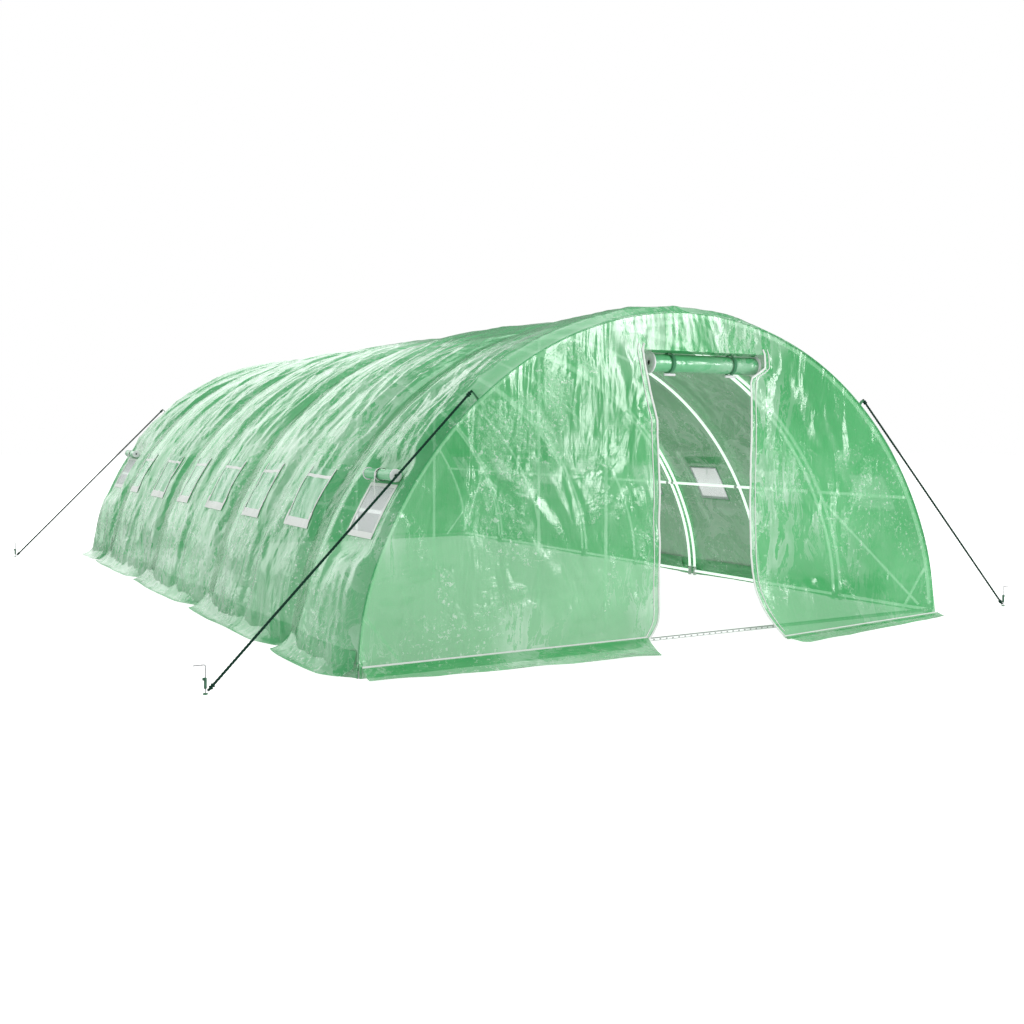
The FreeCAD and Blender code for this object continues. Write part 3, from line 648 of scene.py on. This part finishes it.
# ---------------------------------------------------------------- tunnel cover
COVER_STEP = 0.022
SKIRT_CUTS = (0, 1.1, 3.2, 5.3, 7.2, 8.0)
LOBE_FULLNESS = 0.075
LOBE_HEIGHT = 0.42
PILLOW = 0.009
MODULE_PILLOW = 0.034
MODULE = 2 * BAY
FREE_REACH = 0.16
GROUND_REACH = 0.5

# Folds: their lean in degrees, length and width, and then their height.
BROAD_FOLDS, BROAD_HEIGHT = (14, 1.5, 0.34), 0.013
CROSSING_FOLDS, CROSSING_HEIGHT = (-22, 0.9, 0.2), 0.010
NARROW_FOLDS, NARROW_HEIGHT = (8, 0.5, 0.1), 0.006
CRUMPLES, CRUMPLE_HEIGHT = (30, 0.22, 0.055), 0.0035


def hoop_distance(along):
    """The distance along the tunnel to the nearest hoop tube."""
    lines = []
    for index in range(BAYS + 1):
        y = index * BAY - HALF_LENGTH
        lines += [y - TWIN, y + TWIN] if index % 2 else [y]
    return np.min([np.abs(along - y) for y in lines], axis=0)


def lobe(along):
    """How full the lobe of cover at the ground is: 0 at the skirt's cuts, 1 between them."""
    share = np.zeros_like(along)
    for start, end in zip(SKIRT_CUTS, SKIRT_CUTS[1:]):
        part = (along + HALF_LENGTH - start) / (end - start)
        share = np.where((part >= 0) & (part < 1), part, share)
    return np.sqrt(np.clip(4 * share * (1 - share), 0, 1))


def cover_lift(across, along):
    """How far the film stands proud of its resting offset: pillowed between hoops, folded and creased."""
    free = smooth(hoop_distance(along) / FREE_REACH)
    near_ground = smooth(np.minimum(across, ARCH_LENGTH - across) / GROUND_REACH)
    side = np.where(across < ARCH_LENGTH / 2, -1, 1)
    up = np.minimum(across, ARCH_LENGTH - across)
    local = np.mod(along + HALF_LENGTH - BAY, MODULE)
    mirrored = along * side
    lift = PILLOW * free * (0.35 + 0.65 * near_ground)
    lift = lift + BROAD_HEIGHT * free * creases(up, mirrored, *BROAD_FOLDS, 3)
    lift = lift + CROSSING_HEIGHT * free * creases(up, mirrored, *CROSSING_FOLDS, 7)
    some = smooth(0.6 + noise(up * 1.3, local * 2, 5))
    lift = lift + NARROW_HEIGHT * creases(up, local * side, *NARROW_FOLDS, 11) * some
    few = smooth(0.5 + 1.6 * noise(up * 2, along * 2, 9))
    lift = lift + CRUMPLE_HEIGHT * creases(up, along, *CRUMPLES, 17) * few
    lift = lift + MODULE_PILLOW * np.sin(math.pi * local / MODULE) * near_ground
    lift = lift + LOBE_FULLNESS * lobe(along) * smooth(1 - up / LOBE_HEIGHT)
    beside_end = np.min([np.abs(along - y) for y in (WINDOW_PLACES[0], WINDOW_PLACES[-1])], axis=0)
    beside_any = np.min([np.abs(along - y) for y in WINDOW_PLACES], axis=0)
    beside = np.where(side < 0, beside_end, beside_any) - WINDOW_WIDTH / 2
    above = np.maximum(SILL - up, up - HEAD) - 0.08
    framed = (1 - smooth((beside - 0.03) / 0.16)) * (1 - smooth(above / 0.14))
    lift = lift * (1 - 0.9 * framed)
    return lift * smooth((HALF_LENGTH + FILM_GAP - np.abs(along)) / 0.12)


def on_cover(across, along, proud=0.0):
    """Points on the lifted cover, by the length across the arch and the place along the tunnel."""
    across, along = np.broadcast_arrays(np.asarray(across, float), np.asarray(along, float))
    x, z, normal_x, normal_z = arch(across, FILM_GAP)
    lift = cover_lift(across, along) + proud
    return np.stack([x + normal_x * lift, along, z + normal_z * lift], axis=-1)


def patch(across_edges, along_edges, step, proud=0.0):
    """A grid of points on the cover, with lines along the given edges."""
    across = divided(across_edges, step)
    along = divided(along_edges, step)
    return on_cover(across[:, None], along[None, :], proud)


def strip_on_cover(across_edges, along_edges, step, proud, thickness):
    return slab(patch(across_edges, along_edges, step, proud + thickness),
                patch(across_edges, along_edges, step, proud))


def cover():
    """The one film over the hoops, with an opening for each window."""
    rows = [0, SILL, NET_TOP, ARCH_LENGTH - NET_TOP, ARCH_LENGTH - SILL, ARCH_LENGTH]
    across = divided(rows, COVER_STEP)
    edges = [-HALF_LENGTH - FILM_GAP]
    for y in WINDOW_PLACES:
        edges += [y - WINDOW_WIDTH / 2, y + WINDOW_WIDTH / 2]
    along = divided(edges + [HALF_LENGTH + FILM_GAP], COVER_STEP)
    cell_across = (across[1:] + across[:-1]) / 2
    cell_along = (along[1:] + along[:-1]) / 2
    up = np.minimum(cell_across, ARCH_LENGTH - cell_across)
    in_row = (up > SILL) & (up < NET_TOP)
    in_window = np.min([np.abs(cell_along - y) for y in WINDOW_PLACES], axis=0) < WINDOW_WIDTH / 2
    keep = ~(in_row[:, None] & in_window[None, :])
    made = piece("tunnel_cover", [grid(on_cover(across[:, None], along[None, :]), keep)], film, "film")
    without_loose(made)
    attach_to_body(made, "root")
    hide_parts("cover_roof", "cover_left", "cover_right")


cover()

# A darker half-clear band over each twin hoop darkens the cover there.
TWIN_HOOP_BAND_WIDTH = 0.15
for index in range(1, BAYS, 2):
    y = index * BAY - HALF_LENGTH
    band = patch([0.02, ARCH_LENGTH - 0.02], [y - TWIN_HOOP_BAND_WIDTH / 2, y + TWIN_HOOP_BAND_WIDTH / 2], COVER_STEP, 0.004)
    seam = piece(f"twin_hoop_band_{index}", [grid(band)], twin_hoop_film, "film", "root")

# ---------------------------------------------------------------- windows
NET_OVERLAP = 0.012
TAPE = 0.024
BOTTOM_TAPE = 0.040
FLAP_OVERLAP = 0.020
CORE_WALL = 0.002
WINDOW_ROLL = 0.040
WINDOW_CORE = 0.012
WOUND_INNER = 0.0135
WOUND_TURNS = 2.6
STRAP_STEPS = 48
BORDER_STEP = 0.03


def spiral(centre, axis, start, inner, outer, turns, length, seed):
    """Film wound on a core: a spiral sheet, a little uneven along its length."""
    axis = unit(np.asarray(axis, float))
    start = unit(np.asarray(start, float))
    beside = np.cross(axis, start)
    angle = np.linspace(0, 2 * math.pi * turns, int(turns * 30))[:, None]
    place = np.linspace(-length / 2, length / 2, max(12, int(length / 0.02)))[None, :]
    wobble = 0.0016 * noise(angle * 0.9, place * 9, seed) + 0.001 * noise(angle * 3, place * 40, seed + 2)
    radius = inner + (outer - inner) * angle / angle[-1] + wobble
    edge = place + 0.0015 * np.sin(angle * 0.7 + seed)
    points = radius[..., None] * (np.cos(angle)[..., None] * start + np.sin(angle)[..., None] * beside)
    return grid(points + edge[..., None] * axis + np.asarray(centre, float))


def roll_ends(centre, axis, length, core, outer, rim=0.002, width=0.005):
    """White end rings, the core tube, and a black disc just inside each end of the core: painted shade
    standing for the dark of the hollow.
    """
    centre, axis = np.asarray(centre, float), unit(np.asarray(axis, float))
    tube = bushing(core - CORE_WALL, core, length, 0.0005)
    end_ring = bushing(core - CORE_WALL, outer + rim, width, 0.0018)
    lip = bushing(core + 0.003, core + 0.009, 0.003, 0.001)
    # A black disc inside each end of the core: painted shade for its hollow.
    bore_shade = disc(core - CORE_WALL - 0.0002, 0.004)
    rings, bore_shades = [lathe(centre, axis, tube, 32)], []
    for sign in (-1, 1):
        end = centre + axis * sign * length / 2
        rings.append(lathe(end + axis * sign * 0.003, axis, end_ring, 44))
        rings.append(lathe(end + axis * sign * 0.0065, axis, lip, 44))
        bore_shades.append(lathe(end - axis * sign * 0.004, axis, bore_shade, 32))
    return rings, bore_shades


def strap_loop(centre, axis, radius, width, thickness):
    """A closed loop of strap round a roll."""
    axis = unit(np.asarray(axis, float))
    path = circle(axis, STRAP_STEPS) * (radius + thickness / 2) + np.asarray(centre, float)
    return sweep(path, axis, flat_section(width, thickness), closed=True)


def hinge_film(name, attach, foot, along, length, counts, bow):
    """A strip of film from the cover or wall to a roll, which stretches as the roll comes down."""
    rows = np.linspace(0, 1, counts[0])[:, None]
    columns = np.linspace(-length / 2, length / 2, counts[1])[None, :]
    span = rows[..., None] * (foot - attach) + attach
    strip = span + np.sin(rows * math.pi)[..., None] * bow + columns[..., None] * np.array(along)
    hung = piece(name, [grid(strip)], film, "film")
    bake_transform(hung)


def window_net(side_name, number, y):
    """An insect net behind its opening, with a white tape border."""
    side = SIDES[side_name]
    low, high = across_at(side, SILL - NET_OVERLAP), across_at(side, NET_TOP + NET_OVERLAP)
    across_edges = sorted((low, high))
    half = WINDOW_WIDTH / 2
    mesh = patch(across_edges, [y - half - NET_OVERLAP, y + half + NET_OVERLAP], BORDER_STEP, -0.0025)
    made = piece(f"window_net_{side_name}_{number}", [grid(mesh)], net, "net", "root")
    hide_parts("window_nets")
    bands = []
    for sign in (-1, 1):
        edge = y + sign * (half + 0.004)
        along_edges = [edge - TAPE / 2, edge + TAPE / 2]
        bands.append(strip_on_cover(across_edges, along_edges, BORDER_STEP, 0.001, 0.0016))
    for level, width in ((SILL - 0.006, BOTTOM_TAPE), (NET_TOP + 0.004, TAPE)):
        line = across_at(side, level)
        along_edges = [y - half - 0.016, y + half + 0.016]
        bands.append(strip_on_cover([line - width / 2, line + width / 2], along_edges, 0.02, 0.0032, 0.0016))
    piece(f"window_border_{side_name}_{number}", bands, white_tape, "webbing", "root", flat_shaded=True)


def closed_window(number, y):
    """A flap that hangs closed, zipped down its edges, with a bar in its hem."""
    half = WINDOW_WIDTH / 2 + FLAP_OVERLAP
    low, high = SILL - FLAP_OVERLAP, HEAD + FLAP_OVERLAP
    sheet = grid(patch([low, high], [y - half, y + half], COVER_STEP, 0.004))
    made = piece(f"window_flap_left_{number}", [sheet], flap_film, "film", "root")
    top = on_cover(np.array([high]), np.array([y]), 0.004)[0]
    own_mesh(made)
    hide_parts("window_films")
    zips = []
    for sign in (-1, 1):
        edge = y + sign * (half - 0.004)
        zips.append(strip_on_cover([low, high], [edge - 0.006, edge + 0.006], BORDER_STEP, 0.005, 0.0025))
        corner = [low - 0.002, low + 0.08]
        zips.append(strip_on_cover(corner, [edge - 0.014, edge + 0.014], 0.02, 0.0053, 0.0025))
    hem = [low - 0.030, low - 0.002]
    zips.append(strip_on_cover(hem, [y - half - 0.01, y + half + 0.01], BORDER_STEP, 0.004, 0.0025))
    piece(f"window_zip_left_{number}", zips, white_tape, "webbing", "root", flat_shaded=True)


def rolled_window(side_name, number, y):
    """A flap rolled up above its net, with its ring ends, dark tie and hanging tail."""
    side = SIDES[side_name]
    node = f"window_roll_{side_name}_{number}"
    body = f"window_{side_name}_{number}"
    low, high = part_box(node)
    centre = np.array((low + high) / 2)
    radius = WINDOW_ROLL
    length = WINDOW_WIDTH + 2 * FLAP_OVERLAP
    turn = math.asin((HEAD_LEVEL + RAIL - ROOF_CENTRE) / ROOF_RADIUS)
    outward = np.array([side * math.cos(turn), 0, math.sin(turn)])
    upward = np.array([-side * math.sin(turn), 0, math.cos(turn)])
    axis = np.array([0, -side, 0])
    seed = number + 20 * side
    wound = spiral(centre, axis, -outward, WOUND_INNER, radius - 0.0015, WOUND_TURNS, length, seed)
    made = piece(f"window_roll_film_{side_name}_{number}", [wound], lit_rolled_film, "film_roll", body)
    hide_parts(node)
    rings, bore_shades = roll_ends(centre, (0, 1, 0), length, WINDOW_CORE, radius)
    piece(f"window_roll_rings_{side_name}_{number}", rings, white_plastic, "webbing", body)
    piece(f"window_roll_core_{side_name}_{number}", bore_shades, bore_shade_black, "fitting", body)
    tie = [strap_loop(centre, (0, 1, 0), radius + 0.001, 0.012, 0.0018)]
    piece(f"window_roll_tie_{side_name}_{number}", tie, dark_strap, "webbing", body)
    drop = np.linspace(0, 1, 12)[:, None]
    tail_start = centre + outward * (radius + 0.002) - upward * 0.01
    wave = np.sin(drop * 5) * np.array([side * 0.004, 0.004, 0])
    tail = tail_start + drop * np.array([side * 0.012, 0.012, -0.15]) + wave
    shapes = [sweep(tail, (0, 1, 0), flat_section(0.014, 0.0016))]
    shapes.append(strap_loop(centre + np.array([0, 0.02, 0]), (0, 1, 0), radius + 0.001, 0.012, 0.0016))
    piece(f"window_roll_tail_{side_name}_{number}", shapes, white_tape, "webbing", body)
    foot = centre - outward * radius
    attach = on_cover(np.array([across_at(side, HEAD + 0.07)]), np.array([y]), 0.004)[0]
    hinge_film(f"window_hinge_film_{side_name}_{number}", attach, foot, (0, 1, 0), length, (14, 22),
               outward * -0.004)


for side_name in SIDES:
    for number, y in enumerate(WINDOW_PLACES, start=1):
        window_net(side_name, number, y)
        if side_name == "left" and 1 < number < BAYS:
            closed_window(number, y)
        else:
            rolled_window(side_name, number, y)

# ---------------------------------------------------------------- end walls
WALL_STEP = 0.024
FOOT_HEIGHT = 0.42
LINE_POINTS = 60

# Folds: their lean in degrees, length and width.
WALL_FOLDS = (9, 1.1, 0.26)
WALL_CROSSING = (-28, 0.7, 0.16)
FOOT_FOLDS = (4, 0.5, 0.075)
WALL_CRUMPLES = (40, 0.2, 0.05)


def outline(x, z, offset):
    """Moves points outside the arch on to it; also gives each point's depth inside the arch."""
    side = np.sign(x)
    from_roof = np.hypot(x, z - ROOF_CENTRE)
    roof_turn = np.arctan2(z - ROOF_CENTRE, np.abs(x))
    leg_x = np.abs(x) - LEG_CENTRE
    leg_rise = np.maximum(z - RAIL, 0)
    from_leg = np.hypot(leg_x, leg_rise)
    on_roof = roof_turn >= LEG
    depth = np.where(on_roof, ROOF_RADIUS + offset - from_roof, LEG_RADIUS + offset - from_leg)
    outside = depth < 0
    roof_scale = (ROOF_RADIUS + offset) / np.maximum(from_roof, 1e-6)
    leg_scale = (LEG_RADIUS + offset) / np.maximum(from_leg, 1e-6)
    new_x = np.where(on_roof, x * roof_scale, side * (LEG_CENTRE + leg_x * leg_scale))
    new_z = np.where(on_roof, ROOF_CENTRE + (z - ROOF_CENTRE) * roof_scale,
                     np.where(z > RAIL, RAIL + leg_rise * leg_scale, z))
    return np.where(outside, new_x, x), np.where(outside, new_z, z), depth


def left_edge(z):
    """How far the door's left edge swings: out at the head, in at the middle, out again at the ground."""
    swing = -0.125 + 0.127 * np.clip((2.05 - z) / 0.49, 0, 1) ** 1.3
    swing = swing + 0.023 * smooth((1.56 - z) / 0.5)
    return swing - 0.16 * np.clip(1 - z / 0.24, 0, 1) ** 2.4


def right_edge(z):
    """How far the door's right edge swings: out at the roll, and far out at the ground."""
    return 0.135 * smooth((z - 1.86) / 0.10) + 0.13 * np.clip(1 - z / 0.62, 0, 1) ** 1.7


def foot_reach(x):
    """How far outside the wall the film meets the ground: pulled well forward right of the door."""
    right = 0.03 + 0.24 * np.clip(1 - (x - DOOR_RIGHT) / (HALF_SPAN - DOOR_RIGHT), 0, 1)
    return np.where(x > (DOOR_LEFT + DOOR_RIGHT) / 2, right, 0.025)


def wall_shift(x, z):
    """The sideways swing of the film beside the door's edges."""
    near_left = np.where(x <= DOOR_LEFT + 1e-6, 1 - smooth((DOOR_LEFT - x) / 0.45), 0)
    near_right = np.where(x >= DOOR_RIGHT - 1e-6, 1 - smooth((x - DOOR_RIGHT) / 0.45), 0)
    below_head = smooth((DOOR_HEAD + 0.2 - z) / 0.2)
    return below_head * (near_left * left_edge(z) + near_right * right_edge(z))


def wall_bulge(x, z, depth, seed):
    """How far an end wall stands proud: creases, a slack billow and the kick-out at its foot."""
    slack = smooth(depth / 0.35) * smooth((z - RAIL) / 0.25)
    lift = slack * (0.012 + 0.02 * noise(x * 1.2, z * 1.1, seed))
    lift = lift + 0.010 * slack * creases(z, x, *WALL_FOLDS, seed + 2)
    lift = lift + 0.007 * slack * creases(z, x, *WALL_CROSSING, seed + 4)
    lift = lift + 0.004 * creases(x, z, *FOOT_FOLDS, seed + 6) * smooth(1.1 - z)
    few = smooth(0.5 + 2 * noise(x, z * 1.5, seed + 9))
    lift = lift + 0.003 * slack * creases(x, z, *WALL_CRUMPLES, seed + 8) * few
    return lift + foot_reach(x) * np.clip(1 - z / FOOT_HEIGHT, 0, 1) ** 2


def on_wall(x, z, seed, proud=0.0):
    """Points on the front wall as it hangs."""
    x, z = np.broadcast_arrays(np.asarray(x, float), np.asarray(z, float))
    depth = outline(x, z, FILM_GAP)[2]
    y = -HALF_LENGTH - FILM_GAP - 0.002 - wall_bulge(x, z, depth, seed) - proud
    return np.stack([x + wall_shift(x, z), y, z], axis=-1)


def turned(shape, end_sign):
    """A front-wall shape, turned half way round for the rear end."""
    verts, faces = shape
    return (verts * np.array([-1, -1, 1]) if end_sign > 0 else verts), faces


def wall_line(x, low, high, seed, proud):
    """A line up the front wall."""
    z = np.linspace(low, high, LINE_POINTS)
    return on_wall(np.full(LINE_POINTS, x), z, seed, proud)


def end_wall(end_name, seed):
    """An end wall's film with its doorway, the welt round the arch and the tapes beside the door."""
    end_sign = ENDS[end_name]
    width = HALF_SPAN + FILM_GAP
    top = RAIL + RISE + FILM_GAP
    x_lines = divided([-width - WALL_STEP, DOOR_LEFT, DOOR_RIGHT, width + WALL_STEP], WALL_STEP)
    z_lines = divided([0.004, DOOR_HEAD, top + WALL_STEP], WALL_STEP)
    x, z = np.meshgrid(x_lines, z_lines, indexing="ij")
    new_x, new_z, depth = outline(x, z, FILM_GAP)
    inside = depth > -1e-6
    near = inside[1:, 1:] | inside[:-1, 1:] | inside[1:, :-1] | inside[:-1, :-1]
    cell_x = (x_lines[1:] + x_lines[:-1])[:, None] / 2
    cell_z = (z_lines[1:] + z_lines[:-1])[None, :] / 2
    doorway = (cell_x > DOOR_LEFT) & (cell_x < DOOR_RIGHT) & (cell_z < DOOR_HEAD)
    shape = grid(on_wall(new_x, new_z, seed), near & ~doorway)
    made = piece(f"{end_name}_wall_film", [turned(shape, end_sign)], wall_film, "film")
    without_loose(made)
    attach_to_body(made, "root")
    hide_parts(f"{end_name}_wall")

    arc = np.linspace(0.05, ARCH_LENGTH - 0.05, 260)
    hem_x, hem_z, _, _ = arch(arc, FILM_GAP + 0.001)
    hem = np.stack([hem_x, np.full_like(hem_x, -HALF_LENGTH - FILM_GAP - 0.003), hem_z], axis=-1)
    welt = turned(sweep(hem, (0, 1, 0), round_section(0.006)), end_sign)
    piece(f"{end_name}_arch_welt", [welt], film, "film", "root")
    tapes = []
    for x_line, inward in ((DOOR_LEFT, -1), (DOOR_RIGHT, 1)):
        edge = wall_line(x_line, 0.012, DOOR_HEAD + 0.04, seed, 0.002)
        tapes.append(sweep(edge, (1, 0, 0), flat_section(0.016, 0.005)))
        inner = wall_line(x_line + inward * 0.045, 0.05, DOOR_HEAD + 0.04, seed, 0.002)
        tapes.append(sweep(inner, (1, 0, 0), flat_section(0.007, 0.003)))
    tapes = [turned(tape, end_sign) for tape in tapes]
    piece(f"{end_name}_door_zips", tapes, white_tape, "webbing", "root")


end_wall("front", 30)
end_wall("rear", 60)

# ---------------------------------------------------------------- skirts
SKIRT_TOP = 0.16
END_SKIRT_REACH = {"left": (DOOR_LEFT - 0.07, -HALF_SPAN), "right": (DOOR_RIGHT + 0.10, HALF_SPAN + 0.05)}


def side_skirt(side_name, number, start, end):
    """A lobe of film off the cover on to the ground, round at its front end and pointed at the rear."""
    side = SIDES[side_name]
    share = divided([0, 1], 0.02 / (end - start))[:, None]
    down = np.linspace(0, 1, 18)[None, :]
    y = start - HALF_LENGTH + share * (end - start)
    fullness = float(smooth(1 - SKIRT_TOP / LOBE_HEIGHT))
    top_x = HALF_SPAN + FILM_GAP + 0.014 + LOBE_FULLNESS * lobe(y) * fullness
    reach = 0.105 * (0.25 + 0.75 * smooth(share / 0.22)) + 0.03 * share
    ripple = noise(share * (end - start) * 1.4, down * 1.2, 40 + number) * 0.024
    curl = 0.05 * np.clip(1 - share / 0.08, 0, 1) ** 2 * down
    x = side * (top_x - 0.012 * (1 - down) + reach * down ** 1.5 + ripple * down * 0.5)
    z = 0.005 + SKIRT_TOP * (1 - down) ** 1.7 + np.abs(ripple) * down * 0.5 + curl
    y = y + 0.05 * down * share ** 6
    points = np.stack(np.broadcast_arrays(x, y, z), axis=-1)
    made = piece(f"skirt_{side_name}_{number}", [grid(points)], film, "film", "root")
    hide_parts("ground_skirts")


for side_name in SIDES:
    for number, (start, end) in enumerate(zip(SKIRT_CUTS, SKIRT_CUTS[1:]), start=1):
        side_skirt(side_name, number, start, end)


def end_skirt(end_name, part):
    """The film outside an end wall: it runs from the foot of the wall out to a slanting edge."""
    inner_x, outer_x = END_SKIRT_REACH[part]
    share = np.linspace(0, 1, 90)[:, None]
    down = np.linspace(0, 1, 16)[None, :]
    x = inner_x + (outer_x - inner_x) * share
    near = foot_reach(x) + FILM_GAP
    if part == "left":
        far = 0.33 - 0.18 * share
        start_z = 0.065
        swing = -0.10 * down * (1 - share) ** 8
    else:
        far = near + 0.19 - 0.12 * share
        start_z = 0.02
        swing = 0.06 * down * (1 - share) ** 6
    ripple = noise(x * 2.6, down * 1.4, 50 + len(part)) * 0.022
    y = -HALF_LENGTH - near - (far - near + 0.01) * down
    z = 0.004 + start_z * (1 - down) ** 1.6 + np.abs(ripple) * down
    points = np.stack(np.broadcast_arrays(x + swing, y, z), axis=-1)
    sheet = turned(grid(points), ENDS[end_name])
    made = piece(f"skirt_{end_name}_{part}", [sheet], wall_film, "film", "root")
    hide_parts("ground_skirts")
    seam_line = points[:, 0] + np.array([0, -0.003, 0.002])
    seam = turned(sweep(seam_line, (0, 0, 1), flat_section(0.012, 0.003)), ENDS[end_name])
    piece(f"skirt_seam_{end_name}_{part}", [seam], white_tape, "webbing", "root")


for end_name in ENDS:
    for part in SIDES:
        end_skirt(end_name, part)

# ---------------------------------------------------------------- front door, rolled up
DOOR_CORE = 0.022
DOOR_ROLL = 0.070
STRAP_PLACES = (-0.120, 0.440)
DOOR_TURNS = 4.2
TOGGLE = (0.0015, 0.0095, 0.100, 0.004)
TOGGLE_LOOP = (0.0015, 0.006, 0.012, 0.002)
HINGE_TURN = math.radians(80)


def front_door():
    """The front door's film rolled up on its core, with its rings, straps, toggles and hinge strip."""
    low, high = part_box("front_door_roll")
    centre = np.array((low + high) / 2)
    length = high.x - low.x - 0.012
    wound = spiral(centre, (1, 0, 0), (0, 1, 0), DOOR_CORE + 0.004, DOOR_ROLL - 0.001, DOOR_TURNS, length, 5)
    made = piece("door_roll_film", [wound], lit_rolled_film, "film_roll", "front_door")
    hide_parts("front_door_roll")
    rings, bore_shades = roll_ends(centre, (1, 0, 0), length, DOOR_CORE, DOOR_ROLL, 0.008, 0.012)
    piece("door_roll_rings", rings, white_plastic, "webbing", "front_door")
    piece("door_roll_core", bore_shades, bore_shade_black, "fitting", "front_door")
    straps, toggles = [], []
    for x in STRAP_PLACES:
        place = np.array([x, centre[1], centre[2]])
        straps.append(strap_loop(place, (1, 0, 0), DOOR_ROLL + 0.001, 0.028, 0.002))
        below = place + np.array([0, -0.012, -DOOR_ROLL - 0.012])
        toggles.append(lathe(below, (1, 0, 0), bushing(*TOGGLE), 20))
        toggles.append(lathe(below + np.array([0, 0, 0.006]), (0, 0, 1), bushing(*TOGGLE_LOOP), 16))
    piece("door_roll_straps", straps, green_strap, "webbing", "front_door")
    piece("door_roll_toggles", toggles, white_plastic, "webbing", "front_door")
    attach = np.array([centre[0], -HALF_LENGTH - FILM_GAP + 0.006, DOOR_HEAD + 0.03])
    foot = centre + DOOR_ROLL * np.array([0, -math.cos(HINGE_TURN), math.sin(HINGE_TURN)])
    hinge_film("door_hinge_film", attach, foot, (1, 0, 0), length, (40, 48), np.zeros(3))


front_door()


# ---------------------------------------------------------------- rear door, zipped shut
def rear_door():
    """The closed rear door, which squashes towards its top as its bar goes up."""
    low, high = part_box("rear_door_film")
    x = np.linspace(low.x, high.x, 44)[None, :]
    z = np.linspace(low.z, high.z + 0.02, 90)[:, None]
    lift = 0.010 * creases(z, x, 6, 0.9, 0.2, 80) + 0.004 * creases(x, z, 10, 0.4, 0.07, 84)
    y = high.y + 0.040 + lift * smooth((high.z - z) / 0.2)
    points = np.stack(np.broadcast_arrays(x, y, z), axis=-1)
    made = piece("rear_door_sheet", [grid(points)], wall_film, "film", "root")
    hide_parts("rear_door_film")
    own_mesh(made)


rear_door()

# ---------------------------------------------------------------- floor, lights and world
FLOOR_HALF = 60.0
FLOOR_GLOW = 0.32
FLOOR_GLOW_SEEN = 0.9


def floor():
    """A pale floor that glows more to the camera than to the greenhouse."""
    corners = [[(x, y, -0.0005) for x in (-FLOOR_HALF, FLOOR_HALF)] for y in (-FLOOR_HALF, FLOOR_HALF)]
    shader = Shader("floor", 0.9, Emission_Color=(1, 1, 1, 1))
    seen = shader.node("ShaderNodeMapRange", To_Min=FLOOR_GLOW, To_Max=FLOOR_GLOW_SEEN)
    shader.link(shader.tree.nodes.new("ShaderNodeLightPath").outputs["Is Camera Ray"], seen.inputs["Value"])
    shader.link(seen.outputs["Result"], shader.surface.inputs["Emission Strength"])
    clouds = shader.ramp(shader.noise(0.8, 3), (0.3, 0.0), (0.7, 1.0))
    colour = shader.mix(clouds, (0.50, 0.50, 0.50), (0.54, 0.54, 0.54))
    made = piece("floor", [grid(np.array(corners))], shader.finish(colour), "film")
    del made["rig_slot"]


floor()


def area_light(name, place, target, size, power):
    light = bpy.data.lights.new(name, "AREA")
    light.shape = "RECTANGLE"
    light.size, light.size_y = size
    light.energy = power
    holder = bpy.data.objects.new(name, light)
    holder.location = place
    holder.rotation_euler = (Vector(target) - Vector(place)).to_track_quat("-Z", "Y").to_euler()
    holder.visible_camera = False
    bpy.context.scene.collection.objects.link(holder)


area_light("sheen_rear", (-4, 29, 8), (-2, 0, 1), (32, 14), 2100)
area_light("front_right", (6.5, -14, 4), (0, -4, 1), (2.5, 6), 560)
area_light("top", (0, 0, 11), (0, 0, 0), (10, 12), 600)

world = bpy.data.worlds.new("studio")
bpy.context.scene.world = world
world.use_nodes = True
background = world.node_tree.nodes["Background"]
WORLD_LIGHT = 0.74
WORLD_GLOSS = 0.28
WORLD_SEEN = 1.0
path = world.node_tree.nodes.new("ShaderNodeLightPath")


def strength_for(ray, strength):
    """A node that gives one kind of ray its strength; the To Min socket holds the others'."""
    node = world.node_tree.nodes.new("ShaderNodeMapRange")
    node.inputs["To Max"].default_value = strength
    world.node_tree.links.new(path.outputs[ray], node.inputs["Value"])
    return node


glossy = strength_for("Is Glossy Ray", WORLD_GLOSS)
glossy.inputs["To Min"].default_value = WORLD_LIGHT
seen = strength_for("Is Camera Ray", WORLD_SEEN)
world.node_tree.links.new(glossy.outputs["Result"], seen.inputs["To Min"])
world.node_tree.links.new(seen.outputs["Result"], background.inputs["Strength"])
background.inputs["Color"].default_value = (1, 1, 1, 1)
bpy.context.scene.view_settings.view_transform = "Standard"
bpy.context.scene.cycles.transparent_max_bounces = 24
